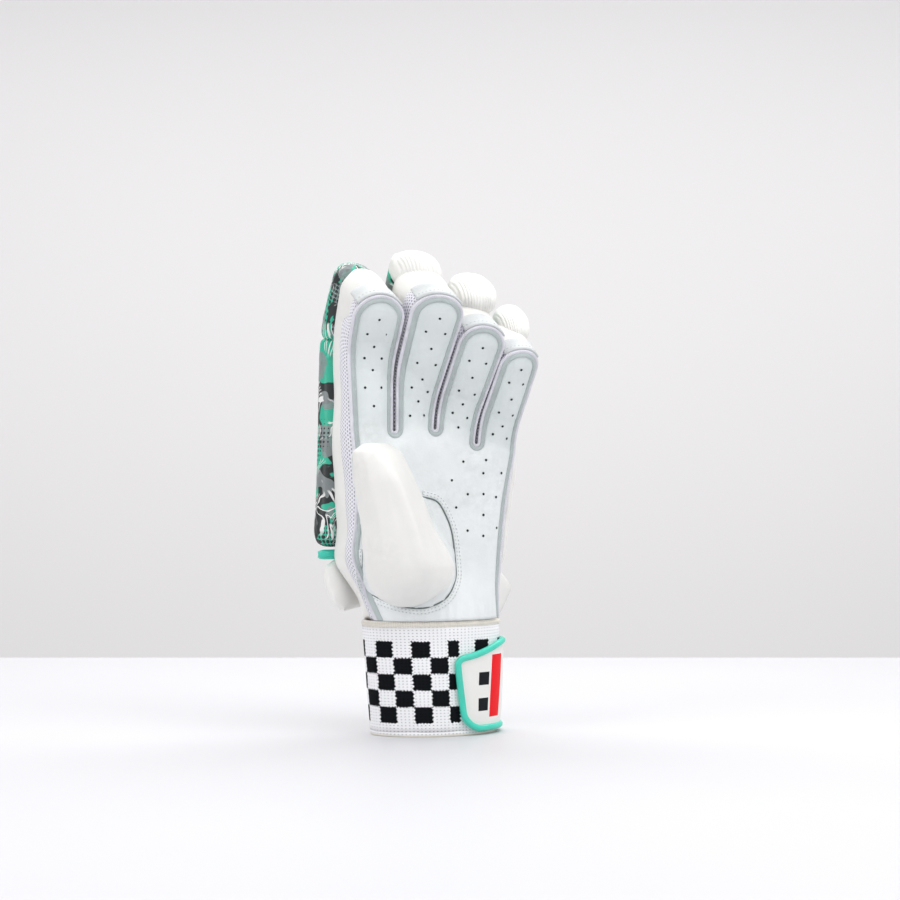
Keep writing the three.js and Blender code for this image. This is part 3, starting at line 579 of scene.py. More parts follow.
def build_grain(s, i):
    """Fine pebbled hide: height of its grain and a slow mottle."""
    warped = s.vector("ADD", i["Vector"], s.drift(i["Vector"], 180.0, 0.0012))
    cells = s.voronoi(warped, i["Scale"])
    pores = s.noise(i["Vector"], 2600.0, 2.0)
    height = s.math("ADD", s.math("MULTIPLY", cells, 0.7), s.math("MULTIPLY", pores, 0.35))
    mottle = s.noise(i["Vector"], 42.0, 4.0, 0.6)
    return {"Height": height, "Mottle": mottle}


def build_stains(s, i):
    """Soft darkening in broad patches, as handling leaves on pale leather."""
    slow = s.noise(i["Vector"], 16.0, 3.0, 0.55)
    fine = s.noise(i["Vector"], 240.0, 3.0, 0.6)
    mask = s.math("MULTIPLY", s.step(slow, 0.45, 0.75), s.step(fine, 0.3, 0.7))
    return {"Color": s.mix(s.math("MULTIPLY", mask, i["Amount"]), i["Color"], i["Dirt"])}


def build_weave(s, i):
    """Columns of knitted loops, each a pair of strands that lean together like a V."""
    u, v, _ = s.split(i["Vector"])
    across = s.math("DIVIDE", u, i["Width"])
    lean = s.math("MULTIPLY", s.math("PINGPONG", across, 0.5), 1.1)
    up = s.math("ADD", s.math("DIVIDE", v, i["Height"]), lean)
    strand = s.step(s.math("PINGPONG", up, 0.5), 0.03, 0.2)
    arm = s.step(s.math("PINGPONG", across, 0.5), 0.1, 0.34)
    return {"Loops": s.math("MAXIMUM", strand, arm)}


def build_print(s, i):
    """A made-up print: drifting patches, thin echo lines and dots of changing size."""
    flat = i["Vector"]
    moved = s.vector("ADD", flat, s.drift(flat, 0.05, 34.0))
    u, v, _ = s.split(moved)
    drift = s.noise(s.combine(s.math("MULTIPLY", u, 0.055), s.math("MULTIPLY", v, 0.03), 0.0), 1.0, 2.0, 0.5)
    patch = s.step(drift, 0.478, 0.485)
    second = s.step(s.noise(flat, 0.07, 1.0), 0.53, 0.537)
    base = s.mix(patch, i["Dark"], i["Bright"])
    base = s.mix(s.math("MULTIPLY", second, 0.85), base, i["Middle"])
    slant = s.math("ADD", s.math("MULTIPLY", v, 0.62), s.math("MULTIPLY", u, 1.7))
    wave = s.math("SINE", s.math("ADD", slant, s.math("MULTIPLY", drift, 60.0)))
    where = s.step(s.noise(flat, 0.045, 2.0), 0.5, 0.56)
    lines = s.math("MULTIPLY", s.step(wave, 0.55, 0.75), where)
    base = s.mix(lines, base, i["Light"])
    cells = s.voronoi(flat, 0.34, 0.0)
    size = s.step(s.noise(flat, 0.03, 1.0), 0.42, 0.68)
    dots = s.math("LESS_THAN", cells, s.math("MULTIPLY", size, 0.42))
    base = s.mix(s.math("MULTIPLY", dots, s.math("SUBTRACT", 1.0, lines)), base, i["Dark"])
    return {"Color": base}


# The cuff's dark rows, and how much of its hem shows below them in mm
CHECK_ROWS, HEM_SHOWS = 5, 1.4
# The mesh's holes: from row to row and from hole to hole in mm
NET_ROW, NET_COLUMN = 2.6, 2.5
# Blocks and stripe of the strap in mm: from its end and from the table, leaning with its edge
BLOCKS = [(12.6, 20.8, 32, 40.3), (12.6, 20.8, 15.4, 23.7)]
STRIPE = (22.6, 35, 11, 51)
BLOCK_LEVEL, BLOCK_SLANT = 31.0, 0.11

GROUPS = {}


def make_groups():
    GROUPS["grain"] = group(
        "hide_grain", {"Vector": "v", "Scale": "f"}, {"Height": "f", "Mottle": "f"}, build_grain)
    GROUPS["stains"] = group(
        "handling", {"Vector": "v", "Color": "c", "Dirt": "c", "Amount": "f"}, {"Color": "c"}, build_stains)
    GROUPS["knit"] = group(
        "knitted_loops", {"Vector": "v", "Width": "f", "Height": "f"}, {"Loops": "f"}, build_weave)
    GROUPS["print"] = group(
        "echo_print", {"Vector": "v", "Bright": "c", "Middle": "c", "Dark": "c", "Light": "c"},
        {"Color": "c"}, build_print)


def material(name, roughness=0.5, sheen=0.0, coat=0.0):
    """A new material with its Principled shader ready: returns it, a Shader and the shader's inputs."""
    made = bpy.data.materials.new(name)
    made.use_nodes = True
    made.node_tree.nodes.clear()
    s = Shader(made.node_tree)
    bsdf = made.node_tree.nodes.new("ShaderNodeBsdfPrincipled")
    sink = made.node_tree.nodes.new("ShaderNodeOutputMaterial")
    made.node_tree.links.new(bsdf.outputs[0], sink.inputs[0])
    bsdf.inputs["Roughness"].default_value = roughness
    bsdf.inputs["Sheen Weight"].default_value = sheen
    bsdf.inputs["Coat Weight"].default_value = coat
    return made, s, bsdf.inputs


def coordinates(s, which="Object"):
    return s.tree.nodes.new("ShaderNodeTexCoord").outputs[which]


def hide(name, colour, dark, scale, depth, roughness, amount=0.5, coat=0.0, painted_shade=None):
    """Leather or coated leather with grain, mottle, handling marks and, where a mask asks, painted shade that
    darkens the colour.
    """
    made, s, b = material(name, roughness, coat=coat)
    where = coordinates(s)
    grain = use(s, GROUPS["grain"], {"Vector": where, "Scale": scale})
    toned = s.mix(s.step(grain["Mottle"], 0.3, 0.75), dark, colour)
    if painted_shade:
        # Painted shade: the mask darkens the fingers past their roots, and the leather near its edges, as the
        # shade they fall into.
        painted_shade_mask = s.new("ShaderNodeAttribute", output=2, attribute_name="painted_shade")
        toned = s.mix(painted_shade_mask, toned, s.mix(1.0, toned, painted_shade, "MULTIPLY"))
    marks = {"Vector": where, "Color": toned, "Dirt": rgb(dark, 0.72), "Amount": amount}
    s.join(use(s, GROUPS["stains"], marks)["Color"], b["Base Color"])
    rough = s.math("ADD", s.math("MULTIPLY", grain["Mottle"], 0.25), roughness - 0.12)
    s.join(rough, b["Roughness"])
    s.join(s.bump(grain["Height"], depth, 0.6), b["Normal"])
    return made


def speckled(name, roughness, scale, a, b, sheen=0.0, detail=2.0):
    """A plain finish that varies a little between two colours."""
    made, s, sockets = material(name, roughness, sheen)
    s.join(s.mix(s.noise(coordinates(s), scale, detail), a, b), sockets["Base Color"])
    return made


def printed(name, inks, white):
    """Coated leather whose back carries the print and whose front stays white."""
    made, s, b = material(name, 0.45, coat=0.15)
    where = coordinates(s)
    flat = coordinates(s, "UV")
    grain = use(s, GROUPS["grain"], {"Vector": where, "Scale": 1100.0})
    ink = use(s, GROUPS["print"], {"Vector": flat, **inks})["Color"]
    mask = s.new("ShaderNodeAttribute", output=2, attribute_name="printed")
    s.join(s.mix(s.step(mask, 0.46, 0.54), white, ink), b["Base Color"])
    s.join(s.bump(grain["Height"], 0.08, 0.5), b["Normal"])
    return made


def knitted(c):
    """The cuff's knit with its dark checks, which stagger a little as the yarn does, and painted shade in the
    hollows between its loops.
    """
    made, s, b = material("checked_knit", 0.95)
    b["Specular IOR Level"].default_value = 0.12
    flat = coordinates(s, "UV")
    loops = use(s, GROUPS["knit"], {"Vector": flat, "Width": 2.6, "Height": 1.9})["Loops"]
    u, v, _ = s.split(flat)
    stray = s.math("MULTIPLY", s.math("SUBTRACT", s.noise(flat, 0.35), 0.5), 1.6)
    sway = s.math("ADD", s.math("PINGPONG", v, 1.25), stray)
    dip = s.math("ADD", s.math("MULTIPLY", s.math("PINGPONG", u, 1.05), 0.8), stray)
    column = s.math("FLOOR", s.math("DIVIDE", s.math("ADD", u, sway), c.check))
    height = s.math("SUBTRACT", s.math("ADD", v, dip), c.check_foot)
    row = s.math("FLOOR", s.math("DIVIDE", height, c.check_rise))
    chosen = s.math("LESS_THAN", s.math("PINGPONG", s.math("ADD", column, row), 1.0), 0.5)
    inside = s.math("MULTIPLY", s.math("GREATER_THAN", row, -0.5), s.math("LESS_THAN", row, CHECK_ROWS - 0.5))
    # Painted shade: the gaps between the knitted loops are darkened, the pale yarn to 0.38 and the black yarn
    # a little, as the shade in the knit's hollows.
    pale = s.mix(s.step(loops, 0.1, 0.55), rgb(c.knit, 0.38), rgb(c.knit))
    pale = s.mix(s.math("LESS_THAN", v, HEM_SHOWS), pale, rgb(c.cream))
    black = s.mix(loops, (0.001, 0.0012, 0.0016, 1), (0.005, 0.006, 0.008, 1))
    s.join(s.mix(s.math("MULTIPLY", chosen, inside), pale, black), b["Base Color"])
    fuzz = s.noise(coordinates(s), 1500.0, 3.0)
    s.join(s.bump(s.math("ADD", loops, s.math("MULTIPLY", fuzz, 0.3)), 0.3, 0.7), b["Normal"])
    return made


def netted(c):
    """Open mesh with staggered rows of round holes, painted dark as the shade seen through them."""
    made, s, b = material("open_mesh", 0.85, sheen=0.25)
    u, v, _ = s.split(coordinates(s, "UV"))
    row = s.math("DIVIDE", v, NET_ROW)
    shifted = s.math("ADD", s.math("DIVIDE", u, NET_COLUMN), s.math("MULTIPLY", s.math("FLOOR", row), 0.5))
    across, along = (s.math("SUBTRACT", s.math("FRACT", k), 0.5) for k in (shifted, row))
    cell = s.combine(across, along, 0.0)
    span = s.new("ShaderNodeVectorMath", {0: cell}, output=1, operation="LENGTH")
    hole = s.math("SUBTRACT", 1.0, s.step(span, 0.24, 0.34))
    cloth = s.mottle(coordinates(s), 900.0, 2.0, rgb(c.mesh, 0.85), rgb(c.mesh))
    # Painted shade: the holes are a dark tint of the mesh, for the shade seen through them.
    s.join(s.mix(hole, cloth, rgb(c.mesh, 0.38)), b["Base Color"])
    s.join(s.bump(span, 0.5, 0.7), b["Normal"])
    return made


def strapped(c):
    """The strap's coated face with its two dark blocks and its red stripe."""
    made, s, b = material("strap_face", 0.5)
    b["Specular IOR Level"].default_value = 0.15
    where = coordinates(s)
    u, v, _ = s.split(coordinates(s, "UV"))
    u = s.math("SUBTRACT", u, s.math("MULTIPLY", s.math("SUBTRACT", v, BLOCK_LEVEL), BLOCK_SLANT))

    def box(low_u, high_u, low_v, high_v):
        inside = [s.math("GREATER_THAN", u, low_u), s.math("LESS_THAN", u, high_u),
                  s.math("GREATER_THAN", v, low_v), s.math("LESS_THAN", v, high_v)]
        return s.math("MULTIPLY", s.math("MULTIPLY", *inside[:2]), s.math("MULTIPLY", *inside[2:]))

    grain = use(s, GROUPS["grain"], {"Vector": where, "Scale": 1100.0})
    face = s.mix(grain["Mottle"], rgb(c.white, 0.96), rgb(c.white))
    blocks = s.math("MAXIMUM", *(box(*sides) for sides in BLOCKS))
    face = s.mix(blocks, face, (0.006, 0.007, 0.01, 1))
    face = s.mix(box(*STRIPE), face, rgb(c.red))
    s.join(face, b["Base Color"])
    s.join(s.bump(grain["Height"], 0.06, 0.5), b["Normal"])
    return made


def make_materials(c):
    """Every finish of the glove, from the colours that the panel shows."""
    made = {
        # The palm leather carries a tint of painted shade on its fingers and near its edges.
        "leather": hide("palm_hide", rgb(c.leather), rgb(c.leather, 0.93), 750.0, 0.16, 0.6,
                        painted_shade=(0.86, 0.89, 0.88, 1)),
        # The binding's darker tone is the leather's colour with painted shade of its curled edge.
        "binding": hide("binding_hide", rgb(c.binding), rgb(c.binding, 0.82), 800.0, 0.2, 0.6),
        "tab": hide("tab_hide", rgb(c.leather, 0.76), rgb(c.leather, 0.68), 750.0, 0.2, 0.6),
        "white": hide("white_coated", rgb(c.white), rgb(c.white, 0.96), 1200.0, 0.05, 0.45, 0.15, 0.1),
        "mesh": netted(c),
        "knit": knitted(c),
        "strap": strapped(c),
        # Grey thread, darker than the leather partly as painted shade of the stitches sunk in their holes.
        "thread": speckled(
            "sewing_thread", 0.7, 2200.0, (0.3, 0.33, 0.34, 1), (0.62, 0.65, 0.66, 1), 0.2, 1.0),
        "tape_thread": speckled("tape_thread", 0.8, 1600.0, rgb(c.cream, 0.8), rgb(c.cream, 1.08), 0.2),
        # A dark band along the thumb's seam: painted shadow in its groove.
        "seam": speckled("seam_shadow", 0.9, 500.0, (0.1, 0.13, 0.13, 1), (0.2, 0.24, 0.24, 1)),
        # Near-black discs for the punched holes: painted shade inside them.
        "hole": speckled("punched_hole", 0.9, 700.0, (0.01, 0.012, 0.014, 1), (0.03, 0.034, 0.038, 1)),
    }
    inks = {"Bright": rgb(c.teal), "Middle": rgb(c.grey), "Dark": rgb(c.charcoal)}
    inks["Light"] = (0.85, 0.85, 0.83, 1)
    made["printed"] = printed("printed_coated", inks, rgb(c.white))

    made["piping"], s, b = material("pale_piping", 0.8, sheen=0.3)
    along = s.split(coordinates(s, "UV"))[0]
    s.join(s.mottle(coordinates(s), 90.0, 3.0, rgb(c.mesh, 0.76), rgb(c.mesh, 0.88)), b["Base Color"])
    s.join(s.bump(s.math("SINE", s.math("MULTIPLY", along, 5.5)), 0.1, 0.6), b["Normal"])

    made["tape"], s, b = material("woven_tape", 0.9, sheen=0.2)
    u, v, _ = s.split(coordinates(s, "UV"))
    ribs, rows = (s.math("SINE", s.math("MULTIPLY", *pair)) for pair in ((u, 4.2), (v, 7.0)))
    woven = s.math("MULTIPLY", s.math("ADD", ribs, rows), 0.25)
    s.join(s.mix(s.math("ADD", woven, 0.5), rgb(c.cream, 0.85), rgb(c.cream, 1.1)), b["Base Color"])
    s.join(s.bump(woven, 0.35, 0.7), b["Normal"])

    made["teal"], s, b = material("teal_binding", 0.42, coat=0.2)
    where = coordinates(s)
    s.join(s.mottle(where, 60.0, 3.0, rgb(c.piping, 0.85), rgb(c.piping)), b["Base Color"])
    s.join(s.bump(s.noise(where, 1400.0), 0.06, 0.5), b["Normal"])
    return made


FINISHES = {}


# Sewing
def stitches(bm, path, length, gap, width):
    """A row of short rounded stitches, with sizes in mm, along a path of (point, outward normal)."""
    length, gap, width = length * MM, gap * MM, width * MM
    travelled, target = 0.0, gap
    previous = path[0][0]
    spots = []
    for point, normal in path[1:]:
        step = (point - previous).length
        while step > 0 and travelled + step >= target:
            part = (target - travelled) / step
            spots.append((previous.lerp(point, part), (point - previous).normalized(), normal))
            target += length + gap
        travelled += step
        previous = point
    for centre, along, normal in spots:
        loop(bm, centre - along * length / 2, centre + along * length / 2, normal, width)


def loop(bm, start, end, normal, width):
    """One rounded stitch from start to end."""
    along = (end - start).normalized()
    side = along.cross(normal).normalized()
    centre, length = (start + end) / 2, (end - start).length
    for vert in bmesh.ops.create_icosphere(bm, subdivisions=1, radius=0.5)["verts"]:
        co = vert.co
        vert.co = centre + along * (co.x * length) + side * (co.y * width) + normal * (co.z * width * 0.7)


def leather_normal(x, z):
    """The leather's outward direction at a flat point."""
    here = leather_point(x, z)
    return (leather_point(x + 1, z) - here).cross(leather_point(x, z + 1) - here).normalized()


def relief(x, z):
    """Pleats at the wrist, creases at the finger joints and slow waves of the worn hide, in mm."""
    pleat = 1 - smoothstep(z, WRIST_Z, WRIST_Z + 26)
    waves = math.sin(x * 0.83 + 1.3 * math.sin(x * 0.21)) * 0.55 * pleat
    slow = 0.5 * noise.noise(Vector((x * 0.05, z * 0.035, 3.1)))
    fine = 0.16 * noise.noise(Vector((x * 0.22, z * 0.34, 8.4)))
    start = along_z(curl_start(x / PALM_WIDTH))
    crease = 0.0
    for offset, depth in ((2, 0.7), (CURL_RUN - 3, 0.5)):
        run = (z - start - offset + 0.6 * math.sin(x * 0.3)) / 1.8
        crease += depth * math.exp(-run * run)
    edge = from_edge(x, z)
    puff = -1.3 * smoothstep(edge, 3, 11)
    return (waves + slow + fine + crease * clamp(edge / 6) + puff) * min(1, edge / 3 + pleat)


def leather_point(x, z, lift=0.0):
    return place(x, leather_y(x, z) + relief(x, z) - lift, z)


class GLOVE_PG_sizes(bpy.types.PropertyGroup):
    """Sizes of the glove's small parts"""

    hole_radius: FloatProperty(
        name="Hole radius", description="Radius of the punched holes in mm", default=0.85)
    stitch_length: FloatProperty(name="Stitch length", description="Length of one stitch in mm", default=1.7)
    gather_depth: FloatProperty(
        name="Gather depth", description="Depth of the folds on the padded rolls in mm", default=0.85)
    swell: FloatProperty(name="Swell", description="Most that a padded piece swells in mm", default=1.6)
    voxel: FloatProperty(
        name="Padding grid", description="Size of the grid that padded pieces are made on in mm", default=3.4)
    frames: IntProperty(name="Frames", description="Frames of the cloth simulation", default=20)


class GLOVE_PG_colours(bpy.types.PropertyGroup):
    """Colours of the glove and of its checked cuff"""

    leather: FloatVectorProperty(
        name="Leather", description="Palm leather", subtype="COLOR", default=(0.83, 0.86, 0.865))
    # The binding is the leather darkened: painted shade of its curled edge.
    binding: FloatVectorProperty(
        name="Binding", description="Leather binding", subtype="COLOR", default=(0.5, 0.56, 0.555))
    mesh: FloatVectorProperty(
        name="Mesh", description="Mesh and piping", subtype="COLOR", default=(0.87, 0.86, 0.93))
    white: FloatVectorProperty(
        name="White", description="Coated leather", subtype="COLOR", default=(0.835, 0.828, 0.8))
    teal: FloatVectorProperty(
        name="Print teal", description="Bright ink of the print", subtype="COLOR", default=(0.025, 0.46, 0.3))
    grey: FloatVectorProperty(
        name="Print grey", description="Middle ink of the print", subtype="COLOR", default=(0.24, 0.27, 0.27))
    charcoal: FloatVectorProperty(
        name="Print dark", description="Dark ink of the print", subtype="COLOR",
        default=(0.012, 0.018, 0.018))
    piping: FloatVectorProperty(
        name="Strap piping", description="Piping of strap and back", subtype="COLOR",
        default=(0.05, 0.66, 0.5))
    knit: FloatVectorProperty(
        name="Knit", description="Pale yarn of the cuff", subtype="COLOR", default=(0.9, 0.9, 0.92))
    cream: FloatVectorProperty(
        name="Cream", description="Tape and hem", subtype="COLOR", default=(0.84, 0.8, 0.72))
    red: FloatVectorProperty(
        name="Red", description="Stripe of the strap", subtype="COLOR", default=(0.84, 0.008, 0.013))
    check: FloatProperty(name="Check width", description="Width of the cuff's checks in mm", default=11.8)
    check_rise: FloatProperty(
        name="Check height", description="Height of the cuff's checks in mm", default=10.47)
    check_foot: FloatProperty(name="Check foot", description="Height of the lowest checks in mm", default=9.2)


class GLOVE_OT_palm(bpy.types.Operator):
    """Leather of the palm and fingers with its punched holes"""

    bl_idname = "glove.palm"
    bl_label = "Palm leather"

    def execute(self, context):
        self.skin()
        self.holes(context.scene.glove_sizes.hole_radius)
        return {"FINISHED"}

    def skin(self):
        bm = bmesh.new()
        row = root_row(0)

        def laid(columns, rows, flat):
            grid(bm, columns, rows, lambda c, r: leather_point(*flat(c, r)), lambda c, r: tuple(flat(c, r)))

        laid(len(row) - 1, PALM_ROWS, lambda c, r: palm_point(row, c, r / PALM_ROWS, 0))
        for i in range(len(FINGERS)):
            laid(len(ACROSS) - 1, 2 * FINGER_ROWS,
                 lambda c, r: finger_point(i, ACROSS[c], r / FINGER_ROWS, 0))
        bmesh.ops.remove_doubles(bm, verts=bm.verts, dist=1e-5)
        opening = Vector((THUMB_HOLE_X * THUMB_WIDTH, THUMB_Z + THUMB_LENGTH * THUMB_HOLE_UP))
        cut = []
        for face in bm.faces:
            x, _, z = unbend(face.calc_center_median())
            if (Vector((x, z)) - opening).length < THUMB_HOLE_RADIUS:
                cut.append(face)
        bmesh.ops.delete(bm, geom=cut, context="FACES")
        # Mask of painted shade: fingers, which bend away from the light, are darkened past their roots, and
        # more so near the edges.
        shade = bm.verts.layers.float.new("painted_shade")
        for vert in bm.verts:
            x, _, z = unbend(vert.co)
            edge = math.exp(-(((from_edge(x, z) - 4.5) / 3.5) ** 2))
            past = z - along_z(root_height(x / PALM_WIDTH))
            vert[shade] = smoothstep(past, -8, 10) * (0.72 + 0.28 * edge)
        piece("palm_leather_skin", bm, FINISHES["leather"], ["palm_leather"], LEATHER)

    def holes(self, radius):
        """Punched holes, as near-black discs of painted shade just over the leather: rows of one and two up
        each finger, and those of the palm.
        """
        spots = []
        for i, (_, _, tip_z, _, _, root_z, rows) in enumerate(FINGERS):
            length = (tip_z - (root_z + roots_z(i)) / 2) * HAND_LENGTH
            for k in range(rows):
                for across in ((0.5,) if k % 2 == 0 else (0.3, 0.7)):
                    spots.append(finger_point(i, across, HOLE_TOP - k * HOLE_RISE / length))
        spots += [Vector((x, WRIST_Z + z)) for x, z in PALM_HOLES]
        bm = bmesh.new()
        for x, z in spots:
            turn = Vector((0, 0, 1)).rotation_difference(leather_normal(x, z)).to_matrix().to_4x4()
            turn.translation = leather_point(x, z, HOLE_LIFT)
            bmesh.ops.create_circle(bm, cap_ends=True, segments=14, radius=radius * MM, matrix=turn)
        piece("punched_holes", bm, FINISHES["hole"])


# Rails of the edge's piping and binding, and the place of its stitches: in from the outline, over the leather
PIPING_RAILS = [(0.25, -0.9), (-0.55, -0.5), (-0.85, 0.3), (-0.5, 1.0), (0.15, 1.15), (0.7, 0.75), (0.8, 0.0)]
BINDING_RAILS = [(0.75, -0.1), (0.95, 0.55), (1.5, 0.85), (2.4, 0.85), (3.0, 0.6), (3.25, 0.1), (3.3, -0.3)]
EDGE_STITCH_AT = (2.35, 1.15)


class GLOVE_OT_edges(bpy.types.Operator):
    """Piping and stitched binding round the palm and every finger"""

    bl_idname = "glove.edges"
    bl_label = "Edge binding"

    def execute(self, context):
        sizes = context.scene.glove_sizes
        for name, rails, finish, slot in (
            ("edge_piping", PIPING_RAILS, "piping", "mesh"),
            ("edge_binding", BINDING_RAILS, "binding", "leather"),
        ):
            bm = bmesh.new()
            lines = [[leather_point(p.x, p.y, lift) for p in outline(inset)] for inset, lift in rails]
            lengths = lengths_along(lines[3])
            skin(bm, lines, uv=lambda c, r: (lengths[c], r))
            piece(name, bm, FINISHES[finish], thickness=0.3, levels=1)
        bm = bmesh.new()
        inset, lift = EDGE_STITCH_AT
        path = [(leather_point(p.x, p.y, lift), leather_normal(p.x, p.y)) for p in outline(inset)]
        stitches(bm, path, sizes.stitch_length, *EDGE_STITCH)
        piece("edge_stitches", bm, FINISHES["thread"])
        return {"FINISHED"}


# Mesh walls in mm: inset from the outline, how far they bulge and reach in front of their solids
MESH_INSET, MESH_BULGE, MESH_REACH = 0.1, 1.1, 0.9
# Rails of a fingertip's tab, and the place of its stitches: inset from the outline and depth
TAB_RAILS = [
    (0.0, MESH_FRONT - 1.9), (-0.8, MESH_FRONT - 2.6), (-1.6, MESH_FRONT - 3.0), (-2.4, MESH_FRONT - 2.5),
    (-2.5, MESH_FRONT - 1.2), (-1.9, MESH_FRONT + 1.5), (-1.7, MESH_FRONT + 5), (-1.7, MESH_FRONT + 8.5),
    (-1.3, MESH_BACK + 1), (-0.2, MESH_BACK + 1.8),
]
TAB_STITCH_AT = (-2.15, MESH_FRONT + 0.6)


def wall_lines(points_out, steps):
    """Rails of a cloth wall from the leather back to its seam on the shell, bulging between."""
    seams = [seam_y(p.x, p.y) for p in points_out(MESH_INSET)]
    lines = []
    for k in range(steps + 1):
        share = k / steps
        out = MESH_BULGE * math.sin(math.pi * share)
        lines.append([
            place(p.x + drawn_in(p)[0] * share, lerp(MESH_FRONT - MESH_REACH, seam, share), p.y)
            for p, seam in zip(points_out(MESH_INSET - out), seams)
        ])
    return lines


class GLOVE_OT_walls(bpy.types.Operator):
    """Mesh walls of the hand and fingers, and the leather tabs over the fingertips"""

    bl_idname = "glove.walls"
    bl_label = "Mesh walls and tabs"

    def execute(self, context):
        last = len(FINGERS) - 1
        runs = {"side_mesh_index": lambda inset: palm_side("left", inset) + up_side(0, inset)}
        runs["side_mesh_little"] = lambda inset: down_side(last, inset) + palm_side("right", inset)[::-1]
        for i in range(last):
            runs[f"gusset_{FINGERS[i][0]}_{FINGERS[i + 1][0]}"] = lambda inset, i=i: (
                down_side(i, inset) + [crotch(i, t, inset) for t in NOTCH] + up_side(i + 1, inset))
        for node, points in runs.items():
            bm = bmesh.new()
            lines = wall_lines(points, 10)
            lengths = lengths_along(lines[4])
            skin(bm, lines, uv=lambda c, r: (lengths[c], r * 1.8))
            piece(node + "_cloth", bm, FINISHES["mesh"], [node], thickness=0.8)
        for i, finger in enumerate(FINGERS):
            self.tab(i, finger[0])
        return {"FINISHED"}

    def tab(self, i, name):
        """A doubled leather tab folded over one fingertip."""
        bm = bmesh.new()
        lines = [[place(p.x, y, p.y) for p in tip_arc(i, inset)[3:-3]] for inset, y in TAB_RAILS]
        skin(bm, lines, uv=lambda c, r: (c, r))
        node = f"tip_tab_{name}"
        piece(node + "_leather", bm, FINISHES["tab"], [node], thickness=0.9, levels=1)
        bm = bmesh.new()
        path = []
        inset, y = TAB_STITCH_AT
        for p in tip_arc(i, inset)[3:-3]:
            inner = p.lerp(tip_centre(i), 0.1)
            point = place(p.x, y, p.y)
            path.append((point, (point - place(inner.x, y, inner.y)).normalized()))
        stitches(bm, path, *TAB_STITCH)
        piece(node + "_stitches", bm, FINISHES["thread"])


# Rails of the white rim, as shares of the way from the seam to the back, and how far it bulges in mm
RIM_SHARES = [0, 0.02, 0.06, 0.14, 0.28, 0.45, 0.62, 0.8, 0.92, 0.98, 1]
RIM_ROUND = 0.9


class GLOVE_OT_shell(bpy.types.Operator):
    """White coated shell behind the hand, with a soft rim"""

    bl_idname = "glove.shell"
    bl_label = "White shell"

    def execute(self, context):
        bm = bmesh.new()
        seams = [seam_y(p.x, p.y) - 0.6 for p in outline(0)]

        def rail(inset, share, front=0):
            line = []
            for p, seam in zip(outline(inset), seams):
                draw, flare = drawn_in(p)
                aside = draw + flare * smoothstep(share, 0, 0.1)
                line.append(place(p.x + aside, lerp(seam + front, SHELL_Y, share), p.y))
            return line

        lines = [rail(SHELL_WALL, 0, 3), rail(SHELL_WALL * 0.7, 0)]
        for share in RIM_SHARES:
            lines.append(rail(0.5 - RIM_ROUND * math.sin(math.pi * share) ** 0.5, share))
        lines.append(rail(SHELL_WALL, 1))
        lengths = lengths_along(lines[6])
        skin(bm, lines, uv=lambda c, r: (lengths[c], r))
        rims = [f"rim_tip_{finger[0]}" for finger in FINGERS] + ["rim_side_index", "rim_side_little"]
        rims += [f"rim_gusset_{a[0]}_{b[0]}" for a, b in zip(FINGERS, FINGERS[1:])]
        piece("shell_rim", bm, FINISHES["white"], rims, thickness=0.8)
        bm = bmesh.new()
        row = root_row(SHELL_INSET)
        grid(bm, len(row) - 1, BACK_ROWS, lambda c, r: self.back(
            palm_point(row, c, r / BACK_ROWS, SHELL_INSET)))
        for i in range(len(FINGERS)):
            grid(bm, len(ACROSS) - 1, 2 * BACK_FINGER_ROWS, lambda c, r: self.back(
                finger_point(i, ACROSS[c], r / BACK_FINGER_ROWS, SHELL_INSET)))
        bmesh.ops.remove_doubles(bm, verts=bm.verts, dist=1e-5)
        piece("shell_back", bm, FINISHES["white"], ["back_sheet"], thickness=1.2)
        return {"FINISHED"}

    def back(self, p):
        dent = 0.3 * noise.noise(Vector((p.x * 0.06, p.y * 0.05, 5.0)))
        return place(p.x + sum(drawn_in(p)), SHELL_Y - 0.2 + dent, p.y)


def applied(made):
    """Replaces an object's mesh by what its modifiers make of it."""
    view = bpy.context.evaluated_depsgraph_get()
    mesh = bpy.data.meshes.new_from_object(made.evaluated_get(view))
    made.modifiers.clear()
    made.data = mesh


def cut_off(mesh, i):
    """Ends a roll at its finger's tip, where the ball takes over."""
    end = along_z(FINGERS[i][2]) + FINGERS[i][3] * PALM_WIDTH - 1.5
    middle = roll_middle(i, end)
    here = place(middle, SHELL_Y, end)
    bm = bmesh.new()
    bm.from_mesh(mesh)
    bmesh.ops.bisect_plane(
        bm, geom=[*bm.verts, *bm.edges, *bm.faces], plane_co=here,
        plane_no=place(middle, SHELL_Y, end + 1) - here, clear_outer=True)
    bmesh.ops.holes_fill(bm, edges=[edge for edge in bm.edges if edge.is_boundary])
    bm.to_mesh(mesh)
    bm.free()


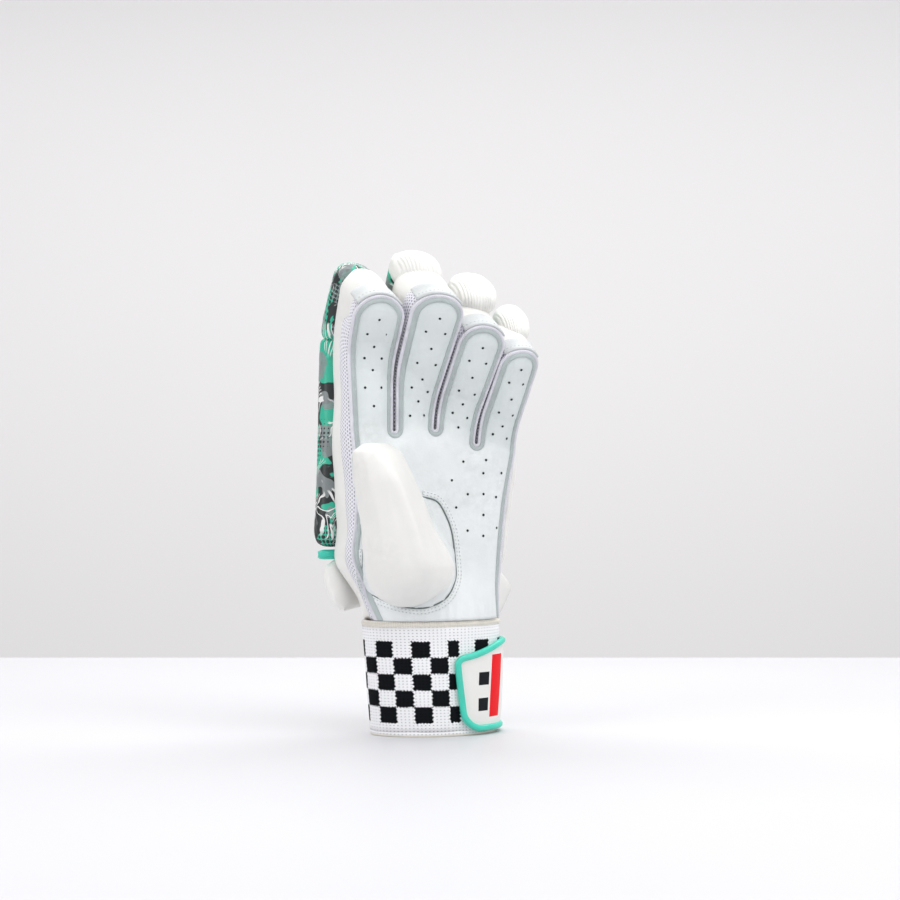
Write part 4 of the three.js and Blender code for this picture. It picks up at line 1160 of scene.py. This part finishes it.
def stuffed(nodes, sizes):
    """Swells copies of padded solids as cloth over stuffing, and returns their smooth meshes."""
    made = {}
    scene = bpy.context.scene
    for node in nodes:
        copy = bpy.data.objects.new("stuffing_" + node, node_mesh(node))
        scene.collection.objects.link(copy)
        for i, (name, *_, hang) in enumerate(ROLLS):
            if hang and node == "tip_roll_" + name:
                cut_off(copy.data, i)
        shrink = copy.modifiers.new("shrink", "DISPLACE")
        shrink.strength = -0.35 * sizes.swell * MM
        shrink.mid_level = 0
        remesh = copy.modifiers.new("remesh", "REMESH")
        remesh.mode = "VOXEL"
        remesh.voxel_size = sizes.voxel * MM
        applied(copy)
        made[node] = copy
    rest = {node: [v.co.copy() for v in copy.data.vertices] for node, copy in made.items()}
    for copy in made.values():
        cloth = copy.modifiers.new("cloth", "CLOTH")
        cloth.settings.quality = 4
        cloth.settings.use_pressure = True
        cloth.settings.uniform_pressure_force = 4
        cloth.settings.effector_weights.gravity = 0
        cloth.point_cache.frame_start = 1
        cloth.point_cache.frame_end = sizes.frames
    for step in range(1, sizes.frames + 1):
        scene.frame_set(step)
    for copy in made.values():
        applied(copy)
    scene.frame_set(1)
    meshes = {}
    for node, copy in made.items():
        for vert, start in zip(copy.data.vertices, rest[node]):
            move = vert.co - start
            if move.length > sizes.swell * MM:
                vert.co = start + move.normalized() * sizes.swell * MM
        smooth = copy.modifiers.new("smooth", "SMOOTH")
        smooth.factor, smooth.iterations = 0.5, 3 if "roll_" in node else 12
        fine = copy.modifiers.new("fine", "SUBSURF")
        fine.levels = fine.render_levels = 2
        applied(copy)
        meshes[node] = copy.data
        bpy.data.objects.remove(copy)
    return meshes


def gather(mesh, pole, heart, reach, count, depth, turn=0.0):
    """Presses folds into a padded mesh, running out from a pole."""
    axis = (heart - pole).normalized()
    first = axis.orthogonal().normalized()
    second = axis.cross(first)
    normals = [vert.normal.copy() for vert in mesh.vertices]
    for vert, normal in zip(mesh.vertices, normals):
        away = vert.co - pole
        far = away.length / MM
        if far > reach or far < 0.5:
            continue
        around = math.atan2(away.dot(second), away.dot(first)) + turn
        wobble = 0.9 * noise.noise(Vector((around * 2.1, far * 0.05, turn * 7)))
        fold = (0.5 + 0.5 * math.cos(count * (around + wobble * 0.35))) ** 2.2
        fade = smoothstep(far, 0.5, 4) * (1 - smoothstep(far, reach * 0.45, reach))
        strong = 0.6 + 0.4 * noise.noise(Vector((around * 3.3, turn, 1.7)))
        vert.co -= normal * fold * fade * depth * strong * MM


WRAP_RADIUS = 13  # mean radius of a roll in mm
WRAP_GIRTH = 2 * WRAP_RADIUS * math.pi


def wrap_uv(mesh, middle, deep):
    """UV map of a roll: along its girth and its length, in mm; returns the flat points from which the caller
    marks where it is printed.
    """
    layer = mesh.uv_layers.new(name="wrap")
    flat = [unbend(v.co) for v in mesh.vertices]
    marks = []
    for x, y, z in flat:
        angle = math.atan2(x - middle(z), y - deep)
        marks.append((angle * WRAP_RADIUS + 0.4 * middle(z), z))
    for poly in mesh.polygons:
        around = [marks[mesh.loops[k].vertex_index][0] for k in poly.loop_indices]
        split = max(around) - min(around) > WRAP_GIRTH / 2
        for k in poly.loop_indices:
            u, v = marks[mesh.loops[k].vertex_index]
            layer.data[k].uv = (u + WRAP_GIRTH if split and u < 0 else u, v)
    return flat


def roll_middle(i, z):
    """Flat x of the middle of a finger's rolls at a height."""
    left, right = roots(i, 0)
    root = (left + right) / 2
    tip = tip_centre(i)
    _, foot_x, _, _, shift, lean, _, _, _ = ROLLS[i]
    foot = Vector((foot_x * PALM_WIDTH, WRIST_Z + ROLL_FOOT))
    root.x += shift * PALM_WIDTH
    tip.x += lean * PALM_WIDTH
    foot.x += shift * PALM_WIDTH
    low, high = (foot, root) if z < root.y else (root, tip)
    return lerp(low.x, high.x, (z - low.y) / (high.y - low.y))


# Folds round the ends of a roll, and how far they reach in mm at its foot, its joint and its top
FOLDS, FOLDS_FOOT, FOLDS_SPLIT, FOLDS_TOP = 22, 26, 22, 30
PLEATS, PLEAT_DEPTH = 40, 0.06  # pleats of a ball, and their depth as a share of its radius
# The wrist roll's end on the index side: from where to where in x, how much wider, and how far out in mm
WRIST_END, WRIST_END_WIDER, WRIST_END_OUT = (-56, -34), 0.24, 3


class GLOVE_OT_rolls(bpy.types.Operator):
    """Padded rolls behind the fingers, across the wrist and along the side"""

    bl_idname = "glove.rolls"
    bl_label = "Padded rolls"

    def execute(self, context):
        sizes = context.scene.glove_sizes
        names = [roll[0] for roll in ROLLS]
        nodes = [f"{part}_roll_{name}" for part in ("lower", "tip") for name in names]
        meshes = stuffed(nodes + ["wrist_roll", "side_roll"], sizes)
        for ball in BALLS:
            self.ball(*ball)
        deep = SHELL_Y + ROLL_SEAT + ROLL_DEPTH * 0.45
        depth = sizes.gather_depth
        for i, roll in enumerate(ROLLS):
            name, _, split, top, _, _, _, ball, hang = roll
            ends = {
                "lower": [(WRIST_Z + ROLL_FOOT, FOLDS_FOOT), (along_z(split), FOLDS_SPLIT)],
                "tip": [(along_z(split), FOLDS_SPLIT), (along_z(top), FOLDS_TOP)],
            }
            for part, (low, high) in ends.items():
                mesh = meshes[f"{part}_roll_{name}"]
                for (z, reach), inward in ((low, 12), (high, -12)):
                    pole = place(roll_middle(i, z), deep - 6, z)
                    heart = place(roll_middle(i, z), deep, z + inward)
                    gather(mesh, pole, heart, reach, FOLDS, depth, i + len(part))
                mesh.update()
                self.square(mesh, i, along_z(split), deep)
                flat = wrap_uv(mesh, lambda z, i=i: roll_middle(i, z), deep)
                mask = mesh.attributes.new("printed", "FLOAT", "POINT")
                for k, (_, y, z) in enumerate(flat):
                    bare = hang * smoothstep(z, along_z(top) - 16, along_z(top) - 12)
                    mask.data[k].value = 1 - bare * (1 - smoothstep(y, SHELL_Y + 19, SHELL_Y + 23))
                made = finished(f"{part}_roll_{name}_pad", mesh, FINISHES["printed"],
                                [f"{part}_roll_{name}"])
        bulge = meshes["wrist_roll"]
        for vert in bulge.vertices:
            x, y, z = (vert.co - ORIGIN) / MM
            out = 1 - smoothstep(x, *WRIST_END)
            low = WRIST_Z + WRIST_ROLL_MIDDLE
            wide = 1 + WRIST_END_WIDER * out
            vert.co = ORIGIN + MM * Vector((x - WRIST_END_OUT * out, y, low + (z - low) * wide))
        for node in ("wrist_roll", "side_roll"):
            made = finished(node + "_pad", meshes[node], FINISHES["white"], [node])
        bm = bmesh.new()
        bm.from_mesh(node_mesh("back_piping"))
        piece("back_piping_cord", bm, FINISHES["teal"], ["back_piping"], levels=1)
        return {"FINISHED"}

    def square(self, mesh, i, split, deep):
        """Fills out a roll towards the joint between a finger's two rolls."""
        flat = [unbend(vert.co) for vert in mesh.vertices]
        for vert, (x, y, z) in zip(mesh.vertices, flat):
            near = 1 - abs(z - split) / 12
            if near > 0:
                middle, more = roll_middle(i, z), 1 + 0.5 * near * near
                towards = math.copysign(2.2 * near * near, split - z)
                vert.co = place(middle + (x - middle) * more, deep + (y - deep) * more, z + towards)

    def ball(self, name, front, high, half):
        """The stuffed ball over a fingertip, with pleats that fan out from its neck."""
        i = [roll[0] for roll in ROLLS].index(name)
        top = along_z(ROLLS[i][3]) - 1
        back = SHELL_Y + ROLL_SEAT + ROLL_DEPTH + 1
        middle = roll_middle(i, top)
        bm = bmesh.new()
        ball = bmesh.ops.create_uvsphere(bm, u_segments=180, v_segments=90, radius=1)["verts"]
        for vert in ball:
            x, y, z = vert.co
            vert.co.x = math.copysign(abs(x) ** 0.9, x)
            vert.co.y = y * (1 - 0.12 * y)
            fan = x * (1.15 - 0.25 * y)
            ridge = math.cos(PLEATS * fan + 2.6 * noise.noise(Vector((fan * 2, y * 0.5, i * 4.0))))
            strong = 0.9 + 0.7 * noise.noise(Vector((fan * 3.1, i * 2.0, 7.3)))
            fold = (0.5 - 0.5 * ridge) ** 2 * clamp(strong, 0.25, 1)
            fade = (1 - smoothstep(y, -0.6, 0.5)) * smoothstep(z, -0.35, 0.1)
            neck = smoothstep(-y, 0.72, 1) * 0.06
            vert.co *= 1 - PLEAT_DEPTH * fold * fade - neck
            vert.co *= 1 + 0.02 * noise.noise(Vector((x * 1.5, y * 1.5, z * 1.5 + i)))
        for vert in ball:
            x, y, z = vert.co
            depth = lerp(front, back, (y + 1) / 2)
            vert.co = place(middle + x * half, depth, top - high / 2 + z * high / 2)
        made = piece(f"tip_ball_{name}", bm, FINISHES["white"], [f"tip_roll_{name}"])


def smooth_line(points, steps):
    """Points along a smooth line through the given ones."""
    ends = [points[0] * 2 - points[1], *points, points[-1] * 2 - points[-2]]
    line = []
    for p, q, r, t in zip(ends, ends[1:], ends[2:], ends[3:]):
        for k in range(steps):
            a = k / steps
            line.append((q * 2 + (r - p) * a + (p * 2 - q * 5 + r * 4 - t) * a * a
                         + (q * 3 - p - r * 3 + t) * a * a * a) / 2)
    return line + [points[-1]]


def thumb_outline(inset, steps=26):
    """The thumb's flat outline from its lower end up the left side and down the right."""
    left, right = [], []
    for k in range(steps + 1):
        up = 0.5 - 0.5 * math.cos(math.pi * k / steps)
        z = lerp(THUMB_Z + inset, THUMB_Z + THUMB_LENGTH - inset, up)
        half = max(0.6, thumb_half(up) * THUMB_WIDTH - inset)
        middle = thumb_middle(up) * THUMB_WIDTH
        left.append(Vector((middle - half, z)))
        right.append(Vector((middle + half, z)))
    return left + right[::-1]


# Sizes of the guard in mm: the grid that it is made on, its long ridge and how far its lower right stands out
GUARD_VOXEL, GUARD_RIDGE, GUARD_OUT = 1.5, 3.06, 3.2
# Rails of the thumb's sleeve: inset from the guard's outline, share of the way back and out to the seam
SLEEVE_RAILS = [
    (2.4, -0.02, 0), (1.4, 0.02, 0), (1.8, 0.3, 0), (1.8, 0.6, 0.05), (1.6, 0.82, 0.3), (1.4, 0.95, 0.7),
    (1.4, 1, 1),
]
# Rails beside the thumb's seam: how far out from it, and how far over the leather
SEAM_BAND = [(0, -0.4), (0.2, 0.35), (0.8, 0.65), (2.4, 0.6), (3.6, 0.45), (4.0, -0.2)]
# Rails of the band of painted shadow in the thumb's seam: how far out from it, and how far over the leather
SEAM_SHADOW = [(-0.75, 0.25), (-0.35, 0.42), (0.1, 0.3)]
SEAM_STITCHES, SEAM_STITCH_LIFT = (1.3, 3.1), 0.6


class GLOVE_OT_thumb(bpy.types.Operator):
    """Moulded thumb guard, its leather sleeve and the double seam round it"""

    bl_idname = "glove.thumb"
    bl_label = "Thumb"

    def execute(self, context):
        self.guard()
        self.sleeve()
        return {"FINISHED"}

    def guard(self):
        """The guard's solid made round and soft, with a long ridge and a fuller lower right."""
        copy = bpy.data.objects.new("guard", node_mesh("thumb_guard"))
        bpy.context.scene.collection.objects.link(copy)
        remesh = copy.modifiers.new("remesh", "REMESH")
        remesh.mode = "VOXEL"
        remesh.voxel_size = GUARD_VOXEL * MM
        smooth = copy.modifiers.new("smooth", "SMOOTH")
        smooth.factor, smooth.iterations = 0.5, 10
        applied(copy)
        fine = copy.modifiers.new("fine", "SUBSURF")
        fine.levels = fine.render_levels = 1
        applied(copy)
        mesh = copy.data
        bpy.data.objects.remove(copy)
        normals = [vert.normal.copy() for vert in mesh.vertices]
        for vert, normal in zip(mesh.vertices, normals):
            x, y, z = (vert.co - ORIGIN) / MM
            up = clamp((z - THUMB_Z) / THUMB_LENGTH)
            middle = thumb_middle(up) * THUMB_WIDTH
            front = smoothstep(RIM_Y - y, 6, 16)
            ridge = (x - middle - 3 + 9 * (up - 0.4)) / 7
            fold = math.exp(-ridge * ridge) * smoothstep(up, 0.05, 0.3) * (1 - smoothstep(up, 0.75, 0.95))
            low = smoothstep(up, 0.04, 0.14) * (1 - smoothstep(up, 0.3, 0.5))
            vert.co.x += GUARD_OUT * low * smoothstep(x - middle, 12, 24) * MM
            slow = 0.7 * noise.noise(Vector((x * 0.06, z * 0.04, 2.0)))
            vert.co += normal * (GUARD_RIDGE * fold + slow) * front * MM
        mesh.update()
        made = finished("thumb_guard_shell", mesh, FINISHES["white"], ["thumb_guard"])

    def sleeve(self):
        seam = smooth_line([Vector((x, WRIST_Z + z)) for x, z in THUMB_SEAM], 9)
        lines = []
        for inset, back, spread in SLEEVE_RAILS:
            line = []
            for p in thumb_outline(inset):
                up = clamp((p.y - THUMB_Z) / THUMB_LENGTH)
                left = smoothstep(thumb_middle(up) * THUMB_WIDTH - p.x, 2, 12)
                q = p + Vector((3.2, 0)) * left * smoothstep(back, 0, 0.3)
                near = min(seam, key=lambda spot: (spot - p).length)
                reach = 1 - smoothstep((near - p).length, 12, 20)
                q = q.lerp(near, spread * reach * (1 - left * smoothstep(up, 0.3, 0.45)))
                face = (leather_point(q.x, q.y).y - ORIGIN.y) / MM - 0.3
                line.append(ORIGIN + MM * Vector((q.x, lerp(RIM_Y + GAP, face, back), q.y)))
            lines.append(line)
        bm = bmesh.new()
        skin(bm, lines, uv=lambda c, r: (c * 3, r))
        piece("thumb_sleeve", bm, FINISHES["leather"], ["thumb_leather"], thickness=0.8)

        def beside(offset, lift):
            path = []
            for k, p in enumerate(seam):
                along = (seam[min(k + 1, len(seam) - 1)] - seam[max(k - 1, 0)]).normalized()
                q = p + Vector((-along.y, along.x)) * offset
                path.append((leather_point(q.x, q.y, lift), leather_normal(q.x, q.y)))
            return path

        def band(name, rails, finish, thickness):
            bm = bmesh.new()
            skin(bm, [[point for point, _ in beside(*rail)] for rail in rails], uv=lambda c, r: (c, r))
            piece(name, bm, FINISHES[finish], thickness=thickness)

        band("thumb_seam_band", SEAM_BAND, "leather", 0.4)
        bm = bmesh.new()
        for offset in SEAM_STITCHES:
            stitches(bm, beside(offset, SEAM_STITCH_LIFT), *THUMB_STITCH)
        piece("thumb_stitches", bm, FINISHES["thread"])
        # The band of painted shadow in the seam's groove.
        band("thumb_seam_shadow", SEAM_SHADOW, "seam", 0.3)


CUFF_DRAWN = 2.4  # how far the cuff's foot is drawn in on the little finger's side
CUFF_STEPS = 160  # round the cuff
CUFF_RIPPLE = 0.35  # how far the knit waves
# Profiles of the hem from the table up, and of the tape from the foot below it up: height, how far out
HEM_PROFILE = [
    (0, -CUFF_WALL + 0.5), (0, -0.5), (0.3, -0.1), (1.2, 0.12), (2.2, 0.1), (3.2, -0.05),
    (3.2, -CUFF_WALL + 0.3), (1.4, -CUFF_WALL),
]
TAPE_FOOT = CUFF_HEIGHT - 0.1
TAPE_PROFILE = [(0, -CUFF_WALL), (0, -0.2), (0.7, 0.3), (1.9, 0.4), (3, 0.1), (3.9, -0.6), (3.9, -CUFF_WALL)]
TAPE_STITCHES, TAPE_STITCH_WIDTH = 190, 1.05  # how many, mm


def cuff_point(angle, z, out):
    up = z / CUFF_HEIGHT
    turn = math.radians(angle)
    drawn = CUFF_DRAWN * (1 - clamp(up)) * max(0, math.cos(turn))
    x = -CUFF_LEAN * up + (cuff_half(up) + out) * math.cos(turn) - drawn
    return ORIGIN + MM * Vector((x, (CUFF_DEPTH / 2 + out) * math.sin(turn), z))


class GLOVE_OT_cuff(bpy.types.Operator):
    """Knitted, checked cuff with its hem and seam tape"""

    bl_idname = "glove.cuff"
    bl_label = "Cuff"

    def execute(self, context):
        turns = [-90 + 360 * k / CUFF_STEPS for k in range(CUFF_STEPS + 1)]
        arcs = lengths_along([cuff_point(turn, CUFF_HEIGHT / 2, 0) for turn in turns])
        start = context.scene.glove_colours.check * 0.33

        def wave(k, z):
            turn = 2 * math.pi * k / CUFF_STEPS
            return noise.noise(Vector((math.cos(turn) * 3, math.sin(turn) * 3, z * 0.06)))

        def ring(name, profile, finish, node, ripple=0.0):
            bm = bmesh.new()
            rails = [[cuff_point(turn, z, out + ripple * wave(k, z)) for k, turn in enumerate(turns)]
                     for z, out in profile]
            skin(bm, rails, closed=True, uv=lambda c, r: (arcs[c] + start, profile[r % len(profile)][0]))
            bmesh.ops.remove_doubles(bm, verts=bm.verts, dist=1e-6)
            piece(name, bm, FINISHES[finish], [node])

        low, high = HEM_HEIGHT + GAP, CUFF_HEIGHT
        outer = [(lerp(low, high, k / 20), 0.0) for k in range(21)]
        inner = [(lerp(high, low, k / 8), -CUFF_WALL) for k in range(9)]
        ring("cuff_knit", outer + inner, "knit", "cuff_band", CUFF_RIPPLE)
        ring("cuff_hem_fold", HEM_PROFILE, "knit", "cuff_hem")
        tape = [(TAPE_FOOT + z, out) for z, out in TAPE_PROFILE]
        ring("cuff_tape_band", tape, "tape", "cuff_tape")
        bm = bmesh.new()
        for k in range(TAPE_STITCHES):
            angle = 360 * k / TAPE_STITCHES
            low = cuff_point(angle, TAPE_FOOT + 0.5, 0.35)
            high = cuff_point(angle + 0.9, TAPE_FOOT + 3.1, 0.25)
            out = (cuff_point(angle, TAPE_FOOT, 2) - cuff_point(angle, TAPE_FOOT, 0)).normalized()
            loop(bm, low, high, out, TAPE_STITCH_WIDTH * MM)
        piece("cuff_tape_stitches", bm, FINISHES["tape_thread"])
        return {"FINISHED"}


STRAP_LEAN, STRAP_LEAN_LOW = 1.2, 4.6  # of the strap's free end in mm: all over, and more towards its foot
STRAP_COLUMNS, STRAP_ROWS = 70, 20
STRAP_PUFF = 0.7  # how far its face bulges
# Distances from the strap's corner where its piping has a point
PIPING_MARKS = [0, 0.3, 0.8, 1.5, 2.5, 4, 6, 9, 13] + [18 + 6 * k for k in range(17)]


def strap_turn(run):
    """The angle round the cuff for a distance from the strap's free end."""
    return STRAP_END + math.degrees(4 * run / (CUFF_WIDTH + CUFF_DEPTH))


def strap_edges(run, inset):
    """The strap's lower and upper edge at a distance from its free end, with rounded corners."""
    def corner(radius):
        short = max(0, radius - run)
        return radius - inset - math.sqrt(max(0, (radius - inset) ** 2 - short * short))

    wide = smoothstep(strap_turn(run), STRAP_END, -20)
    return (STRAP_LOW + inset + corner(STRAP_CORNER_LOW),
            STRAP_HIGH - STRAP_TAPER * (1 - wide) - inset - corner(STRAP_CORNER_HIGH))


def strap_point(run, z, out):
    lean = STRAP_LEAN + STRAP_LEAN_LOW * ((STRAP_HIGH - z) / (STRAP_HIGH - STRAP_LOW)) ** 2
    run += lean * (1 - smoothstep(run, 0, 45))
    return cuff_point(strap_turn(run), z, out + GAP + TAPE_PROUD)


class GLOVE_OT_strap(bpy.types.Operator):
    """Closing strap with its piping"""

    bl_idname = "glove.strap"
    bl_label = "Strap"

    def execute(self, context):
        length = math.radians(STRAP_START - STRAP_END) * (CUFF_WIDTH + CUFF_DEPTH) / 4
        self.face(length)
        self.piping(context, length)
        return {"FINISHED"}

    def face(self, length):
        inset = STRAP_PIPING
        runs = [inset + (length - inset) * (k / STRAP_COLUMNS) ** 1.6 for k in range(STRAP_COLUMNS + 1)]

        def flat(c, r):
            return runs[c], lerp(*strap_edges(runs[c], inset), r / STRAP_ROWS)

        def point(c, r):
            rise = math.sin(math.pi * r / STRAP_ROWS) ** 0.5 * smoothstep(runs[c], inset, inset + 6)
            return strap_point(*flat(c, r), STRAP_THICKNESS + STRAP_PUFF * (rise - 1))

        bm = bmesh.new()
        grid(bm, STRAP_COLUMNS, STRAP_ROWS, point, flat)
        piece("strap_face", bm, FINISHES["strap"], ["strap"], thickness=STRAP_THICKNESS - 0.8)

    def piping(self, context, length):
        """A cord round the strap's free end and along both edges."""
        inset = STRAP_PIPING * 0.7
        runs = [mark + inset for mark in PIPING_MARKS if mark < length - STRAP_PIPING]
        low = [(run, strap_edges(run, inset)[0]) for run in runs]
        high = [(run, strap_edges(run, inset)[1]) for run in runs]
        centre = [strap_point(run, z, STRAP_THICKNESS / 2 + 0.2) for run, z in high[::-1] + low]
        curve = bpy.data.curves.new("strap_edge", "CURVE")
        curve.dimensions = "3D"
        curve.bevel_depth = (STRAP_PIPING + 0.45) * MM
        curve.bevel_resolution = 4
        curve.resolution_u = 6
        spline = curve.splines.new("NURBS")
        spline.points.add(len(centre) - 1)
        for spot, co in zip(spline.points, centre):
            spot.co = (*co, 1)
        spline.order_u = 3
        spline.use_endpoint_u = True
        holder = bpy.data.objects.new("strap_edge", curve)
        context.scene.collection.objects.link(holder)
        view = context.evaluated_depsgraph_get()
        mesh = bpy.data.meshes.new_from_object(holder.evaluated_get(view))
        bpy.data.objects.remove(holder)
        finished("strap_edge_piping", mesh, FINISHES["teal"], ["strap_piping"])


VIEW_TURN = math.radians(22)
VIEW_DISTANCE, VIEW_ASIDE, VIEW_HEIGHT, VIEW_LENS = 1.5, 0.00975, 0.183, 92.3
TABLE_EDGE, WALL_DISTANCE = 0.534, 1.6  # behind the glove in m
# name, place along the view, to the right and up in m, size, power
LAMPS = [
    ("top_light", (-0.55, 0.2, 1.6), (1.3, 1.3), 15),
    ("left_light", (-1.1, -1.4, 0.8), (1.0, 1.4), 12),
    ("right_light", (-0.9, 1.4, 0.9), (1.0, 1.4), 10),
    ("backdrop_light", (0.7, 0, 1.35), (2.6, 0.8), 22),
]


class GLOVE_OT_stage(bpy.types.Operator):
    """Table, backdrop, lights and camera"""

    bl_idname = "glove.stage"
    bl_label = "Stage"

    def execute(self, context):
        scene = context.scene
        white = speckled("table_top", 0.5, 3.0, (0.6, 0.6, 0.62, 1), (0.63, 0.63, 0.65, 1))
        grey = speckled("backdrop_paper", 0.95, 2.0, (0.93, 0.915, 0.915, 1), (0.96, 0.945, 0.945, 1))
        look = Vector((math.sin(VIEW_TURN), math.cos(VIEW_TURN), 0))
        right = Vector((math.cos(VIEW_TURN), -math.sin(VIEW_TURN), 0))
        up = Vector((0, 0, 1))

        def plane(name, corners, finish):
            bm = bmesh.new()
            bm.faces.new([bm.verts.new(ORIGIN + look * a + right * b + up * c) for a, b, c in corners])
            mesh = mesh_of(name, bm)
            mesh.materials.append(finish)
            made = bpy.data.objects.new(name, mesh)
            scene.collection.objects.link(made)

        near, far = -2.4, TABLE_EDGE
        plane("table", [(near, -3, 0), (near, 3, 0), (far, 3, 0), (far, -3, 0)], white)
        wall = WALL_DISTANCE
        plane("backdrop", [(wall, -4, -1.5), (wall, 4, -1.5), (wall, 4, 3), (wall, -4, 3)], grey)
        for name, (ahead, aside, over), size, power in LAMPS:
            data = bpy.data.lights.new(name, "AREA")
            data.shape = "RECTANGLE"
            data.size, data.size_y = size
            data.energy = power
            made = bpy.data.objects.new(name, data)
            made.location = ORIGIN + look * ahead + right * aside + up * over
            aim = ORIGIN + up * 0.16 - made.location
            made.rotation_euler = aim.to_track_quat("-Z", "Y").to_euler()
            scene.collection.objects.link(made)
        world = bpy.data.worlds.new("studio")
        world.use_nodes = True
        sky = world.node_tree.nodes["Background"].inputs
        sky["Color"].default_value = (0.9, 0.9, 0.92, 1)
        sky["Strength"].default_value = 0.42
        scene.world = world
        scene.view_settings.view_transform = "Standard"
        data = bpy.data.cameras.new("camera")
        data.sensor_width = 36
        data.lens = VIEW_LENS
        camera = bpy.data.objects.new("camera", data)
        camera.location = ORIGIN - look * VIEW_DISTANCE + right * VIEW_ASIDE + up * VIEW_HEIGHT
        camera.rotation_euler = (math.radians(90), 0, -VIEW_TURN)
        scene.collection.objects.link(camera)
        scene.camera = camera
        return {"FINISHED"}


OPERATORS = [
    GLOVE_OT_palm, GLOVE_OT_edges, GLOVE_OT_walls, GLOVE_OT_shell, GLOVE_OT_rolls, GLOVE_OT_thumb,
    GLOVE_OT_cuff, GLOVE_OT_strap, GLOVE_OT_stage,
]


class GLOVE_PT_panel(bpy.types.Panel):
    """The glove's pieces, sizes and colours"""

    bl_idname = "GLOVE_PT_panel"
    bl_label = "Glove"
    bl_space_type = "VIEW_3D"
    bl_region_type = "UI"
    bl_category = "Glove"

    def draw(self, context):
        for operator in OPERATORS:
            self.layout.operator(operator.bl_idname)
        for settings in (context.scene.glove_sizes, context.scene.glove_colours):
            for key in settings.bl_rna.properties.keys():
                if key not in ("name", "rna_type"):
                    self.layout.prop(settings, key)


CLASSES = [GLOVE_PG_sizes, GLOVE_PG_colours, *OPERATORS, GLOVE_PT_panel]


def register():
    for each in CLASSES:
        bpy.utils.register_class(each)
    bpy.types.Scene.glove_sizes = PointerProperty(type=GLOVE_PG_sizes)
    bpy.types.Scene.glove_colours = PointerProperty(type=GLOVE_PG_colours)


def unregister():
    del bpy.types.Scene.glove_sizes
    del bpy.types.Scene.glove_colours
    for each in reversed(CLASSES):
        bpy.utils.unregister_class(each)


def main():
    register()
    make_groups()
    FINISHES.update(make_materials(bpy.context.scene.glove_colours))
    for operator in OPERATORS:
        space, name = operator.bl_idname.split(".")
        getattr(getattr(bpy.ops, space), name)()


if __name__ == "__main__":
    main()
